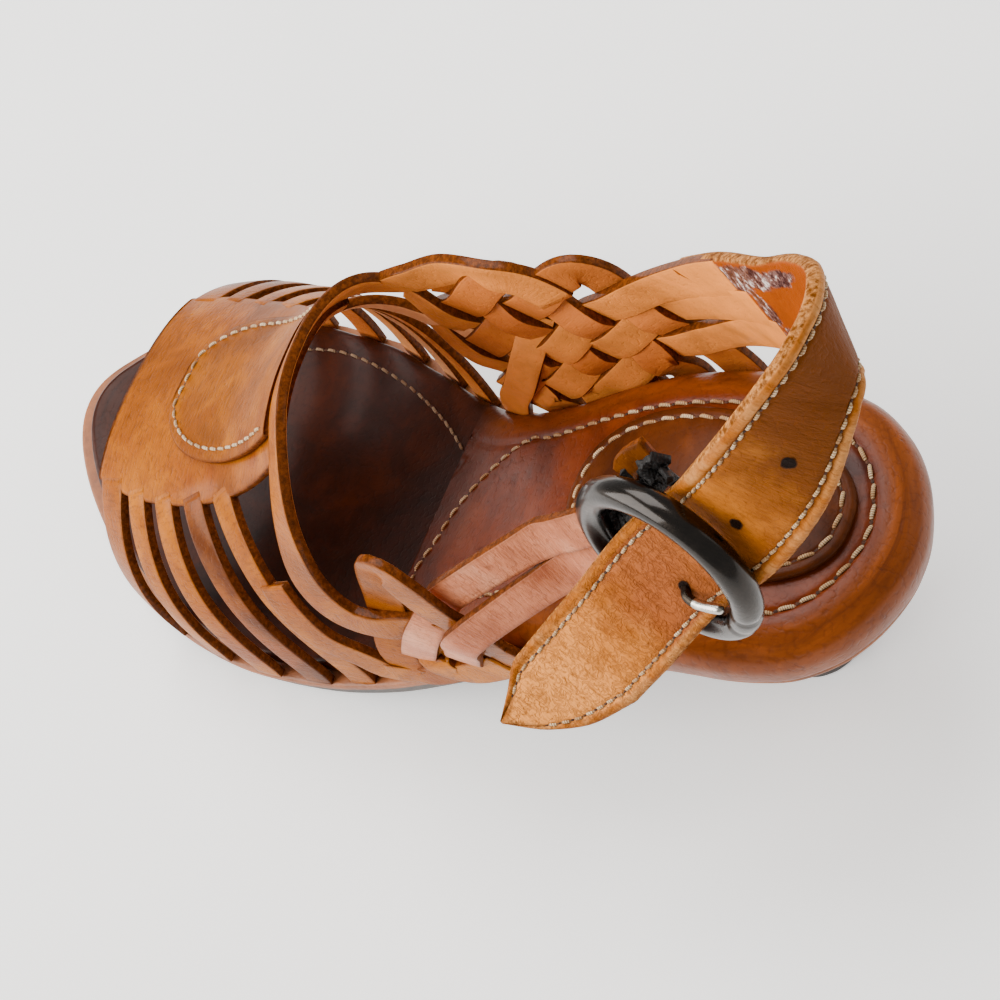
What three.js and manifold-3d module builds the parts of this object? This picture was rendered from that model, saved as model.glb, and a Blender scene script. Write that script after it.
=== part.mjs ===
// Heeled gladiator sandal for the left foot: a woven leather upper on a wrapped footbed,
// a platform outsole and a stacked heel, closed by an ankle strap with a ring buckle.
// Millimetres, +Z up, +X towards the heel, -Y towards the outer side of the foot.
import * as THREE from 'three';
import { mergeVertices } from 'three/addons/utils/BufferGeometryUtils.js';
import Module from 'manifold-3d';

const wasm = await Module();
wasm.setup();

// Driving dimensions
const LENGTH = 250; // footbed along its curve, heel to toe
const PITCH = 52; // heel seat above the ball of the foot
const RAMP = { start: 36, end: 170 }; // stations where the arch begins and ends
const TOE_SPRING = 7;
const SPRING_START = 212;
const TOE_SWING = 7; // toe drawn towards the inner side
const SWING_START = 150;
const BREAK = 136; // station where the wrapped footbed meets the forefoot insole
const INSOLE_STEP = 1.5;
const GAP = 0.3; // between pieces that touch
const SOLE_GAP = 0.45; // between the layers of the sole, whose curves are faceted
const LEATHER = 2.2; // thickness of the upper's strips
const STRAP_LEATHER = 2.6;
const STRAP_WIDTH = 22;
const RING = { radius: 16.5, wire: 2.9 };
const HEEL_BREAST = 58;
const LIFT = 6; // top piece under the heel
const WELT = LEATHER + 3 * GAP; // outsole margin that carries the straps

// The last, by station from the heel: half widths of the footbed and height of the instep
const LAST = table(['s', 'medial', 'lateral', 'crown'], [
  [0, 0, 0, 150],
  [1.5, 9, 9, 150],
  [5, 17, 17, 150],
  [10, 23, 23.5, 150],
  [20, 29, 30, 150],
  [35, 31.5, 33, 150],
  [60, 29.5, 34, 146],
  [80, 26.5, 34, 132],
  [100, 24.5, 35, 112],
  [120, 25, 37.5, 90],
  [140, 30, 41, 71],
  [160, 37.5, 44, 57],
  [178, 42, 45.5, 48],
  [195, 42.5, 44, 41],
  [210, 39.5, 39.5, 36],
  [225, 33, 31.5, 32],
  [238, 24, 21.5, 29],
  [246, 12.5, 12, 27],
  [250, 0, 0, 26],
]);
// Thickness of footbed and outsole, and how far the outsole stands in from the footbed's edge
const LAYERS = table(['s', 'bed', 'sole', 'inset'], [
  [0, 13, 3.5, 1.5],
  [45, 13, 3.5, 1.5],
  [62, 12, 3.5, -WELT],
  [100, 9.5, 4, -WELT],
  [136, 7, 6, -WELT],
  [160, 6, 7, -WELT],
  [250, 6, 7, -WELT],
]);
// Rounded rim of the wrapped footbed: distance in from the edge, share of the thickness
const RIM = [[22, 0], [9, 0], [5, 0.04], [2.2, 0.14], [0.6, 0.31], [0, 0.5], [0.3, 0.8], [1.8, 1]];
const INSOLE_EDGE = [[18, 0], [1, 0], [0.2, 0.25], [0.2, 0.8], [1, 1]];
// Outsole edge: a runner stands proud of the sole unit below it
const SOLE_EDGE = [[20, 0], [0.4, 0], [0, 0.08], [0, 0.34], [0.9, 0.4], [0.9, 0.88], [1.8, 1]];
// Heel: share of its drop, then length and width against its top
const HEEL_TAPER = table(['drop', 'length', 'width'], [
  [0, 1, 1],
  [0.16, 0.84, 0.84],
  [0.4, 0.63, 0.62],
  [0.7, 0.49, 0.47],
  [1, 0.44, 0.41],
]);
const HEEL_CENTRE = { s: 41, y: 1.5 }; // the point about which the heel tapers
const HEEL_INSET = 3.5;
// Woven bands: stations, heights of the lower and upper edge at back and front, strands
const MEDIAL_BAND = { side: 1, back: 51, front: 119, low: [5, 4], high: [32, 57], strands: 6, half: 40 };
const LATERAL_BAND = { side: -1, back: 92, front: 139, low: [-5, -5], high: [24, 38], strands: 4, half: 29 };
const STRIP = 8.8; // width of a woven strip
const WEAVE_LIFT = 0.95; // how far a strip rises or sinks at a crossing
// Vamp panel over the instep: stations and the half angle that it covers
const PANEL = { back: 140, front: 214, spreadBack: 0.5, spreadFront: 0.62 };
const OVERLAY = { back: 143, front: 192, spread: 0.36, thickness: 1.5 };
// Bands from the panel into the weave: start and end station, end height on each side, width
const BANDS = table(['from', 'to', 'inner', 'outer', 'width'], [
  [145, 112, 45, 30, 11],
  [153, 116, 24, 17, 10],
]);
// Thin straps that fan from the panel to the sole: start station, sole station, width
const FAN = table(['from', 'to', 'width'], [
  [165, 141, 7],
  [175, 155, 7],
  [186, 170, 7],
  [197, 185, 7],
  [208, 202, 10],
]);
const PAD = { back: 13, front: 78, width: 18.5, thickness: 1.8 };

// Reading tables

function table(names, rows) {
  const columns = { rows };
  names.forEach((name, i) => {
    columns[name] = rows.map((row) => row[i]);
  });
  return columns;
}

// Monotone cubic through one column of a table
function smooth(columns, key, name) {
  const x = columns[key];
  const y = columns[name];
  const last = x.length - 1;
  const chord = x.slice(1).map((v, i) => (y[i + 1] - y[i]) / (v - x[i]));
  const slope = x.map((v, i) => {
    if (i === 0) return chord[0];
    if (i === last) return chord[last - 1];
    const a = chord[i - 1];
    const b = chord[i];
    return a * b <= 0 ? 0 : (2 * a * b) / (a + b);
  });
  return (at) => {
    const v = THREE.MathUtils.clamp(at, x[0], x[last]);
    let i = 0;
    while (i < last - 1 && v > x[i + 1]) i += 1;
    const h = x[i + 1] - x[i];
    const t = (v - x[i]) / h;
    const t2 = t * t;
    const t3 = t2 * t;
    return (2 * t3 - 3 * t2 + 1) * y[i] + (t3 - 2 * t2 + t) * h * slope[i]
      + (3 * t2 - 2 * t3) * y[i + 1] + (t3 - t2) * h * slope[i + 1];
  };
}

const medial = smooth(LAST, 's', 'medial');
const lateral = smooth(LAST, 's', 'lateral');
const crown = smooth(LAST, 's', 'crown');
const bed = smooth(LAYERS, 's', 'bed');
const sole = smooth(LAYERS, 's', 'sole');
const soleInset = smooth(LAYERS, 's', 'inset');
const BALL_TOP = bed(LENGTH) + sole(LENGTH) + SOLE_GAP;

// The footbed's curve

function bedHeight(s) {
  const ramp = 1 - THREE.MathUtils.smoothstep(s, RAMP.start, RAMP.end);
  const spring = Math.max(0, (s - SPRING_START) / (LENGTH - SPRING_START));
  return BALL_TOP + PITCH * ramp + TOE_SPRING * spring * spring;
}

function bedSlope(s) {
  const d = 0.05;
  return (bedHeight(s + d) - bedHeight(s - d)) / (2 * d);
}

const SPINE_X = [0];
for (let s = 0; s < LENGTH + 20; s += 1) {
  SPINE_X.push(SPINE_X[s] - Math.sqrt(1 - bedSlope(s + 0.5) ** 2));
}

function spineX(s) {
  const i = Math.floor(Math.max(0, s));
  return THREE.MathUtils.lerp(SPINE_X[i], SPINE_X[i + 1], Math.max(0, s) - i);
}

function swing(s) {
  const share = Math.max(0, (s - SWING_START) / (LENGTH - SWING_START));
  return TOE_SWING * share * share;
}

// A point of the sole: station, distance across, and depth square to the footbed
function solePoint(s, y, depth) {
  const slope = bedSlope(s);
  const rise = Math.sqrt(1 - slope * slope);
  return new THREE.Vector3(spineX(s) - depth * slope, y, bedHeight(s) - depth * rise);
}

// Solids

function solid(positions) {
  const geometry = new THREE.BufferGeometry();
  geometry.setAttribute('position', new THREE.Float32BufferAttribute(positions, 3));
  return toManifold(geometry);
}

function toManifold(geometry) {
  const bare = geometry.clone();
  bare.deleteAttribute('normal');
  bare.deleteAttribute('uv');
  const merged = mergeVertices(bare, 1e-4);
  const triVerts = new Uint32Array(merged.index.array);
  const vertProperties = new Float32Array(merged.attributes.position.array);
  const made = new wasm.Manifold(new wasm.Mesh({ numProp: 3, vertProperties, triVerts }));
  if (made.volume() >= 0) return made;
  triVerts.reverse();
  return new wasm.Manifold(new wasm.Mesh({ numProp: 3, vertProperties, triVerts }));
}

function toGeometry(manifold) {
  const mesh = manifold.getMesh();
  const geometry = new THREE.BufferGeometry();
  geometry.setAttribute('position', new THREE.Float32BufferAttribute(mesh.vertProperties, 3));
  geometry.setIndex(new THREE.Uint32BufferAttribute(mesh.triVerts, 1));
  geometry.computeVertexNormals();
  return geometry;
}

function join(manifolds) {
  return manifolds.reduce((whole, piece) => whole.add(piece));
}

function pushTriangle(positions, a, b, c) {
  positions.push(a.x, a.y, a.z, b.x, b.y, b.z, c.x, c.y, c.z);
}

function pushQuad(positions, a, b, c, d) {
  if (!a.equals(b) && !b.equals(c) && !a.equals(c)) pushTriangle(positions, a, b, c);
  if (!a.equals(c) && !c.equals(d) && !a.equals(d)) pushTriangle(positions, a, c, d);
}

// Rings of points around an outline, closed above and below by rungs from side to side.
// An open ring runs round one end only and gets a flat face across its own two ends.
function stack(rings, closed) {
  const positions = [];
  const count = rings[0].length;
  const turn = (ring, i) => ring[closed ? i % count : i];
  const steps = closed ? count : count - 1;
  rings.slice(1).forEach((lower, r) => {
    const upper = rings[r];
    for (let i = 0; i < steps; i += 1) {
      pushQuad(positions, turn(upper, i), turn(lower, i), turn(lower, i + 1), turn(upper, i + 1));
    }
    if (!closed) {
      pushQuad(positions, upper[steps], lower[steps], lower[0], upper[0]);
    }
  });
  const rungs = (ring, flip) => {
    for (let i = 0; i < steps / 2; i += 1) {
      const four = [turn(ring, i), turn(ring, i + 1), turn(ring, steps - i - 1), turn(ring, steps - i)];
      if (flip) four.reverse();
      pushQuad(positions, ...four);
    }
  };
  rungs(rings[0], false);
  rungs(rings[rings.length - 1], true);
  return solid(positions);
}

// Outlines as stations with the side of the foot, in one turning sense

const heelLoop = (front, count) => {
  const stations = [];
  for (let i = -count; i <= count; i += 1) {
    const s = front * (1 - Math.cos((Math.PI / 2) * (i / count)));
    stations.push({ s, side: i < 0 ? 1 : -1 });
  }
  return stations;
};

const toeLoop = (back, count) => {
  const stations = [];
  for (let i = -count; i <= count; i += 1) {
    const s = LENGTH - (LENGTH - back) * (1 - Math.cos((Math.PI / 2) * (i / count)));
    stations.push({ s, side: i < 0 ? -1 : 1 });
  }
  return stations;
};

const wholeLoop = (count) => {
  const stations = [];
  for (let i = 0; i < 2 * count; i += 1) {
    const s = (LENGTH / 2) * (1 + Math.cos(Math.PI * (i / count)));
    stations.push({ s, side: i < count ? 1 : -1 });
  }
  return stations;
};

function edgePoint({ s, side }) {
  const half = side > 0 ? medial(s) : -lateral(s);
  return new THREE.Vector2(s, swing(s) + half);
}

// The outline moved inwards; an open outline keeps its two ends on their station
function insetLoop(stations, closed, inset) {
  const points = stations.map(edgePoint);
  const count = points.length;
  return points.map((point, i) => {
    const isEnd = !closed && (i === 0 || i === count - 1);
    const before = points[closed ? (i + count - 1) % count : Math.max(0, i - 1)];
    const after = points[closed ? (i + 1) % count : Math.min(count - 1, i + 1)];
    const along = after.clone().sub(before).normalize();
    const move = typeof inset === 'function' ? inset(point.x) : inset;
    const s = isEnd ? point.x : point.x - along.y * move;
    return new THREE.Vector2(s, point.y + along.x * move);
  });
}

function limitStation(point, from, to) {
  return new THREE.Vector2(THREE.MathUtils.clamp(point.x, from, to), point.y);
}

function footbedSolid() {
  const stations = heelLoop(BREAK, 24);
  const rings = RIM.map(([inset, share]) => insetLoop(stations, false, inset)
    .map((p) => limitStation(p, 0, BREAK))
    .map((p) => solePoint(p.x, p.y, share * bed(p.x))));
  return stack(rings, false);
}

function insoleSolid() {
  const back = BREAK + GAP;
  const stations = toeLoop(back, 24);
  const rings = INSOLE_EDGE.map(([inset, share]) => insetLoop(stations, false, inset)
    .map((p) => limitStation(p, back, LENGTH))
    .map((p) => solePoint(p.x, p.y, THREE.MathUtils.lerp(INSOLE_STEP, bed(p.x) - GAP, share))));
  return stack(rings, false);
}

function outsoleSolid() {
  const stations = wholeLoop(42);
  const rings = SOLE_EDGE.map(([inset, share]) => insetLoop(stations, true, (s) => inset + soleInset(s))
    .map((p) => solePoint(p.x, p.y, bed(p.x) + SOLE_GAP + share * sole(p.x))));
  return stack(rings, true);
}

// Space below the outsole's top, wider than the sole, that trims the feet of the straps
function soleTrimmer() {
  const stations = wholeLoop(44);
  const wide = 8;
  const deep = 14;
  const section = [[20, 0], [-wide, 0], [-wide, deep]];
  const rings = section.map(([inset, depth]) => insetLoop(stations, true, inset)
    .map((p) => solePoint(p.x, p.y, bed(p.x) + SOLE_GAP - GAP + depth)));
  return stack(rings, true);
}

// Heel block, from under the outsole down to its flat foot
function heelRing(drop, length, width) {
  const foot = LIFT + GAP;
  const centre = solePoint(HEEL_CENTRE.s, HEEL_CENTRE.y, bed(HEEL_CENTRE.s));
  return insetLoop(heelLoop(HEEL_BREAST, 14), false, HEEL_INSET).map((p) => {
    const top = solePoint(p.x, p.y, bed(p.x) + sole(p.x) + SOLE_GAP + GAP);
    const x = centre.x + (top.x - centre.x) * length;
    const y = centre.y + (top.y - centre.y) * width;
    return new THREE.Vector3(x, y, THREE.MathUtils.lerp(top.z, foot, drop));
  });
}

function heelSolid() {
  return stack(HEEL_TAPER.rows.map((row) => heelRing(...row)), false);
}

function liftSolid() {
  const foot = heelRing(...HEEL_TAPER.rows.at(-1));
  const levels = [LIFT, LIFT / 2, 0];
  return stack(levels.map((z) => foot.map((p) => new THREE.Vector3(p.x, p.y, z))), false);
}

// Heel sock: a stitched oval of leather on the footbed
function padSolid() {
  const count = 36;
  const middle = (PAD.back + PAD.front) / 2;
  const reach = (PAD.front - PAD.back) / 2;
  const ring = (inset, lift) => {
    const points = [];
    for (let i = 0; i < count; i += 1) {
      const angle = (2 * Math.PI * i) / count;
      const across = Math.sign(Math.sin(angle)) * Math.abs(Math.sin(angle)) ** 0.8;
      const s = middle + (reach - inset) * Math.cos(angle);
      points.push(solePoint(s, (PAD.width - inset) * across, -lift));
    }
    return points;
  };
  return stack([ring(0.6, GAP + PAD.thickness), ring(0, GAP + PAD.thickness - 0.5), ring(0, GAP)], true);
}

// The surface of the last above the footbed. The turn runs from 0 at the inner edge over the
// instep to pi at the outer edge, and past either edge the wall drops straight to the sole.
const DROP = 40; // millimetres of drop for a turn of one
const ROUND = 0.83; // exponent of the section, below one for fuller shoulders

function lastPoint(s, turn) {
  const reach = 3 * GAP + LEATHER / 2;
  const within = THREE.MathUtils.clamp(turn, 0, Math.PI);
  const lean = Math.cos(within);
  const half = (lean > 0 ? medial(s) : lateral(s)) + reach;
  const y = swing(s) + Math.sign(lean) * half * Math.abs(lean) ** ROUND;
  const rise = crown(s) * Math.max(0, Math.sin(within)) ** ROUND;
  const fall = DROP * Math.max(-turn, turn - Math.PI, 0);
  return new THREE.Vector3(spineX(s), y, bedHeight(s) + rise - fall);
}

function station(s, turn, lift) {
  const d = 0.02;
  const alongFoot = lastPoint(s + d, turn).sub(lastPoint(s - d, turn));
  const aroundFoot = lastPoint(s, turn + d).sub(lastPoint(s, turn - d));
  const normal = aroundFoot.cross(alongFoot).normalize();
  const point = lastPoint(s, turn);
  const outward = new THREE.Vector3(0, point.y - swing(s), Math.max(0, point.z - bedHeight(s)));
  if (normal.dot(outward) < 0) normal.negate();
  return { point: point.addScaledVector(normal, lift), normal };
}

// Turn of the wall at a height above the footbed, on one side
function turnAt(s, height, side) {
  const share = THREE.MathUtils.clamp(height / crown(s), 0, 1);
  const inner = height < 0 ? height / DROP : Math.asin(share ** (1 / ROUND));
  return side > 0 ? inner : Math.PI - inner;
}

// Height, below the footbed's top, that takes a strap into the sole's trimmer
function soleDrop(s) {
  return -(bed(s) + LEATHER) / Math.sqrt(1 - bedSlope(s) ** 2);
}

// A flat strap through stations with a point and the normal of its face. The width is one
// number, or a function of the station's number that gives how far its two edges stand out.
function strap(stations, width, thickness) {
  const edges = typeof width === 'function' ? width : () => [width / 2, width / 2];
  const corners = stations.map(({ point, normal }, i) => {
    const before = stations[Math.max(0, i - 1)].point;
    const after = stations[Math.min(stations.length - 1, i + 1)].point;
    const along = after.clone().sub(before).normalize();
    const across = normal.clone().cross(along).normalize();
    const face = along.clone().cross(across).normalize().multiplyScalar(thickness / 2);
    const [one, other] = edges(i);
    const corner = (a, b) => point.clone().addScaledVector(across, a).addScaledVector(face, b);
    return [corner(one, 1), corner(-other, 1), corner(-other, -1), corner(one, -1)];
  });
  const positions = [];
  corners.slice(1).forEach((next, i) => {
    for (let k = 0; k < 4; k += 1) {
      const m = (k + 1) % 4;
      pushQuad(positions, corners[i][k], corners[i][m], next[m], next[k]);
    }
  });
  pushQuad(positions, ...[...corners[0]].reverse());
  pushQuad(positions, ...corners[corners.length - 1]);
  return solid(positions);
}

// Smooth curve through rows of station, turn and lift
function routeOnLast(rows, steps) {
  const scale = 40;
  const knots = rows.map(([s, turn, lift]) => new THREE.Vector3(s, turn * scale, lift));
  const curve = new THREE.CatmullRomCurve3(knots, false, 'centripetal');
  return curve.getSpacedPoints(steps).map((p) => station(p.x, p.y / scale, p.z));
}

// One strip of a woven band: it runs to and fro between the edges and goes over and under
function weaveStrip(band, index) {
  const length = band.front - band.back;
  const steps = Math.round(length / 5.3);
  const sharp = 0.95;
  const stations = [];
  for (let i = 0; i <= steps; i += 1) {
    const share = i / steps;
    const s = band.back + length * share;
    const run = (s - band.back) / (2 * band.half);
    const phase = 2 * Math.PI * (run + index / band.strands);
    const rise = 0.5 + Math.asin(sharp * Math.sin(phase)) / (2 * Math.asin(sharp));
    const heading = Math.cos(phase) / Math.sqrt(1 - (sharp * Math.sin(phase)) ** 2);
    const low = THREE.MathUtils.lerp(band.low[0], band.low[1], share) + STRIP / 2;
    const high = THREE.MathUtils.lerp(band.high[0], band.high[1], share) - STRIP / 2;
    const lift = WEAVE_LIFT * heading * Math.cos(2 * Math.PI * band.strands * run);
    const height = THREE.MathUtils.lerp(low, high, rise);
    stations.push(station(s, turnAt(s, height, band.side), lift));
  }
  return strap(stations, STRIP, LEATHER);
}

function weaveBand(band) {
  const strips = [];
  for (let i = 0; i < band.strands; i += 1) strips.push(weaveStrip(band, i));
  return strips;
}

// Upright strips that close a woven band at its front and carry it down to the sole
function bandPosts(band, places, top) {
  return places.map((s, i) => {
    const rows = [0, 0.33, 0.66, 1].map((share) => {
      const at = s + 5 * share;
      const height = THREE.MathUtils.lerp(top[i], soleDrop(at), share);
      return [at, turnAt(at, height, band.side), 0];
    });
    return strap(routeOnLast(rows, 6), STRIP, LEATHER);
  });
}

// A sheet of the last's surface between two stations, of even thickness
function sheet(back, front, spreadAt, lift, thickness, rows, columns) {
  const grid = [];
  for (let i = 0; i <= rows; i += 1) {
    const s = THREE.MathUtils.lerp(back, front, i / rows);
    const line = [];
    for (let j = 0; j <= columns; j += 1) {
      const turn = Math.PI / 2 + spreadAt(i / rows) * (1 - (2 * j) / columns);
      const outer = station(s, turn, lift + thickness / 2).point;
      const inner = station(s, turn, lift - thickness / 2).point;
      line.push([outer, inner]);
    }
    grid.push(line);
  }
  const positions = [];
  const quad = (...corners) => pushQuad(positions, ...corners.map(([i, j, k]) => grid[i][j][k]));
  for (let i = 0; i < rows; i += 1) {
    for (let j = 0; j < columns; j += 1) {
      quad([i, j, 0], [i, j + 1, 0], [i + 1, j + 1, 0], [i + 1, j, 0]);
      quad([i, j, 1], [i + 1, j, 1], [i + 1, j + 1, 1], [i, j + 1, 1]);
    }
    quad([i, 0, 0], [i + 1, 0, 0], [i + 1, 0, 1], [i, 0, 1]);
    quad([i + 1, columns, 0], [i, columns, 0], [i, columns, 1], [i + 1, columns, 1]);
  }
  for (let j = 0; j < columns; j += 1) {
    quad([0, j + 1, 0], [0, j, 0], [0, j, 1], [0, j + 1, 1]);
    quad([rows, j, 0], [rows, j + 1, 0], [rows, j + 1, 1], [rows, j, 1]);
  }
  return solid(positions);
}

const panelSpread = (share) => THREE.MathUtils.lerp(PANEL.spreadBack, PANEL.spreadFront, share);
const overlaySpread = (share) => OVERLAY.spread * Math.sqrt(1.02 - share ** 4);

function panelEdge(s, side) {
  const share = (s - PANEL.back) / (PANEL.front - PANEL.back);
  return Math.PI / 2 - side * panelSpread(share) * 0.9;
}

// Bands that leave the panel's shoulder and run back into the weave
function sideBands(side) {
  return BANDS.rows.map(([from, to, inner, outer, width]) => {
    const start = panelEdge(from, side);
    const end = turnAt(to, side > 0 ? inner : outer, side);
    const mid = THREE.MathUtils.lerp(from, to, 0.5);
    const rows = [
      [from, start, 0],
      [mid, THREE.MathUtils.lerp(start, end, 0.68), 0],
      [to, end, 0],
    ];
    return strap(routeOnLast(rows, 7), width, LEATHER);
  });
}

// Thin straps that sweep down and back from the panel to the sole
function fanStraps(side) {
  return FAN.rows.map(([from, to, width]) => {
    const start = panelEdge(from, side);
    const foot = turnAt(to, soleDrop(to), side);
    const base = turnAt(to, 3, side);
    const rows = [
      [from, start, 0],
      [THREE.MathUtils.lerp(from, to, 0.55), THREE.MathUtils.lerp(start, base, 0.5), 0],
      [to, base, 0],
      [to, foot, 0],
    ];
    return strap(routeOnLast(rows, 7), width, LEATHER);
  });
}

function upperSolid() {
  const { back, front } = PANEL;
  return join([
    sheet(back, front, panelSpread, 0, LEATHER, 10, 8),
    ...sideBands(1),
    ...sideBands(-1),
    ...fanStraps(1),
    ...fanStraps(-1),
    ...weaveBand(MEDIAL_BAND),
    ...weaveBand(LATERAL_BAND),
    ...bandPosts(MEDIAL_BAND, [72, 92, 112], [14, 18, 34]),
    ...bandPosts(LATERAL_BAND, [103, 118, 133], [8, 10, 12]),
  ]).subtract(soleTrimmer());
}

function overlaySolid() {
  const lift = LEATHER / 2 + GAP + OVERLAY.thickness / 2;
  return sheet(OVERLAY.back, OVERLAY.front, overlaySpread, lift, OVERLAY.thickness, 10, 8);
}

// The buckle's own frame: the strap runs along it, across it lies the strap's width
const RING_CENTRE = new THREE.Vector3(-30, -27.3, 86.5 + BALL_TOP);
const RING_FACE = new THREE.Vector3(-0.233, -0.96, 0.153).normalize();
const RING_ALONG = new THREE.Vector3(-0.486, -0.02, -0.874).projectOnPlane(RING_FACE).normalize();
const RING_ACROSS = RING_FACE.clone().cross(RING_ALONG);

function ringPoint(along, across, out) {
  return RING_CENTRE.clone()
    .addScaledVector(RING_ALONG, along)
    .addScaledVector(RING_ACROSS, across)
    .addScaledVector(RING_FACE, out);
}

function ringGeometry() {
  const basis = new THREE.Matrix4().makeBasis(RING_ALONG, RING_ACROSS, RING_FACE);
  basis.setPosition(RING_CENTRE);
  return new THREE.TorusGeometry(RING.radius, RING.wire, 8, 28).applyMatrix4(basis);
}

// Knots of a free strap: a point and the normal of its face
function routeInAir(knots, steps) {
  const curve = new THREE.CatmullRomCurve3(knots.map((k) => k.point), false, 'centripetal');
  const lengths = knots.map((k, i) => i / (knots.length - 1));
  const stations = [];
  for (let i = 0; i <= steps; i += 1) {
    const t = i / steps;
    const j = Math.min(knots.length - 2, Math.floor(t * (knots.length - 1)));
    const local = (t - lengths[j]) * (knots.length - 1);
    const normal = knots[j].normal.clone().lerp(knots[j + 1].normal, local).normalize();
    stations.push({ point: curve.getPoint(t), normal });
  }
  return stations;
}

// Ankle strap from its root on the medial weave round the back of the ankle: place, then face
const STRAP_BACK = table(['x', 'y', 'z', 'nx', 'ny', 'nz'], [
  [-60, 26.7, 66, 0, 1, 0],
  [-46, 26.2, 79, 0.1, 1, 0],
  [-30, 21, 95.5, 0.4, 0.9, 0],
  [-15, 12.5, 110.5, 0.6, 0.78, -0.05],
  [-4, 4, 120, 0.8, 0.58, -0.05],
  [2, -5, 123.5, 1, 0.05, 0.05],
  [2.2, -13.5, 122.5, 0.75, -0.62, 0.2],
]);
// The strap through the ring, in the buckle's frame, and its free end
const STRAP_RING = table(['along', 'across', 'out'], [
  [-42, 2.5, -9],
  [-27, 1.5, -9],
  [-14, 1, -7],
  [0, 1, 1.1],
  [14, 1, 10],
  [25, 0.5, 12],
]);
const STRAP_TIP = table(['x', 'y', 'z', 'nx', 'ny', 'nz'], [
  [-51, -49, 61, 0.1, -0.75, 0.62],
  [-57, -58, 56, 0.245, -0.563, 0.784],
]);
// Pointed end: distance from the tip, and how far each edge stands from the strap's middle
const STRAP_POINT = table(['left', 'upper', 'lower'], [
  [0, 5.6, -5],
  [5, 8, 2.5],
  [12, STRAP_WIDTH / 2, 8],
  [22, STRAP_WIDTH / 2, STRAP_WIDTH / 2],
]);

function placeKnot([x, y, z, nx, ny, nz]) {
  const point = new THREE.Vector3(x, y, z + BALL_TOP);
  return { point, normal: new THREE.Vector3(nx, ny, nz).normalize() };
}

function strapKnots() {
  const lean = new THREE.Vector3().copy(RING_FACE).addScaledVector(RING_ALONG, -0.42).normalize();
  const threaded = STRAP_RING.rows.map((row) => ({ point: ringPoint(...row), normal: lean }));
  return [...STRAP_BACK.rows.map(placeKnot), ...threaded, ...STRAP_TIP.rows.map(placeKnot)];
}

// Prong from inside the ring, up through the strap, onto the far side of the ring
const PRONG_WIRE = 1.1;
const PRONG = table(['along', 'across', 'out'], [
  [2.5, -11, -1.8],
  [2.8, -5, -1.6],
  [2.4, -0.5, 0.4],
  [1.4, 3.5, 3.4],
  [-0.6, 8.5, 3.2],
  [-2.5, 13.4, 2.4],
]);

function prongGeometry(wire) {
  const route = new THREE.CatmullRomCurve3(PRONG.rows.map((row) => ringPoint(...row)));
  const section = new THREE.Shape().absarc(0, 0, wire, 0, 2 * Math.PI);
  const options = { steps: 14, extrudePath: route, curveSegments: 5, bevelEnabled: false };
  return new THREE.ExtrudeGeometry(section, options);
}

function strapSolid() {
  const stations = routeInAir(strapKnots(), 56);
  const left = stations.map(() => 0);
  for (let i = stations.length - 2; i >= 0; i -= 1) {
    left[i] = left[i + 1] + stations[i].point.distanceTo(stations[i + 1].point);
  }
  const upper = smooth(STRAP_POINT, 'left', 'upper');
  const lower = smooth(STRAP_POINT, 'left', 'lower');
  const whole = strap(stations, (i) => [lower(left[i]), upper(left[i])], STRAP_LEATHER);
  return whole.subtract(toManifold(prongGeometry(PRONG_WIRE + GAP + 0.1)));
}

// Chape: a fold of leather round the ring, slit into two strips. The upper one enters the
// weave from within and the lower one lies on its outside.
const CHAPE_AT = new THREE.Vector2(0.884, -0.468).normalize();
const CHAPE = { fold: 9, band: 16.4, strip: 7.9, apart: 8.5, slit: 15 };
const CHAPE_FOLD = table(['out', 'face', 'width'], [
  [CHAPE.slit, -1.3, CHAPE.band],
  [10.5, -1.8, CHAPE.band],
  [5.5, -4.2, CHAPE.fold],
  [0.4, -5, CHAPE.fold],
  [-3.8, -3.7, CHAPE.fold],
  [-5.4, 0, CHAPE.fold],
  [-3.8, 3.7, CHAPE.fold],
  [0.4, 5, CHAPE.fold],
  [5.5, 4.2, CHAPE.fold],
  [10.5, 1.8, CHAPE.band],
  [CHAPE.slit, 1.3, CHAPE.band],
]);
const CHAPE_ROOTS = table(['s', 'height', 'lift', 'bow'], [
  [98, 17, -3.9, 0],
  [94, 4, 4, 2.5],
]);

function chapePoint(out, face) {
  const reach = RING.radius + out;
  return ringPoint(CHAPE_AT.x * reach, CHAPE_AT.y * reach, face);
}

function chapeSolid() {
  const side = ringPoint(-CHAPE_AT.y, CHAPE_AT.x, 0).sub(RING_CENTRE);
  const knots = CHAPE_FOLD.rows.map(([out, face]) => chapePoint(out, face));
  const curve = new THREE.CatmullRomCurve3(knots, false, 'centripetal');
  const steps = 24;
  const fold = [];
  for (let i = 0; i <= steps; i += 1) {
    const normal = curve.getTangent(i / steps).cross(side).normalize();
    fold.push({ point: curve.getPoint(i / steps), normal });
  }
  const widths = CHAPE_FOLD.width;
  const foldEdges = (i) => {
    const at = (i / steps) * (widths.length - 1);
    const j = Math.min(widths.length - 2, Math.floor(at));
    const half = THREE.MathUtils.lerp(widths[j], widths[j + 1], at - j) / 2;
    return [half, half];
  };
  const strips = CHAPE_ROOTS.rows.map(([s, height, lift, bow], i) => {
    const shift = (i - 0.5) * CHAPE.apart;
    const start = chapePoint(CHAPE.slit - 2, 0).addScaledVector(side, shift);
    const root = station(s, turnAt(s, height, -1), lift);
    const between = (share) => {
      const normal = RING_FACE.clone().lerp(root.normal, share);
      const point = start.clone().lerp(root.point, share);
      return { point: point.addScaledVector(normal, bow * Math.sin(Math.PI * share)), normal };
    };
    return strap(routeInAir([0, 0.35, 0.7, 1].map(between), 9), CHAPE.strip, LEATHER);
  });
  return join([strap(fold, foldEdges, LEATHER), ...strips]);
}

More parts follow.
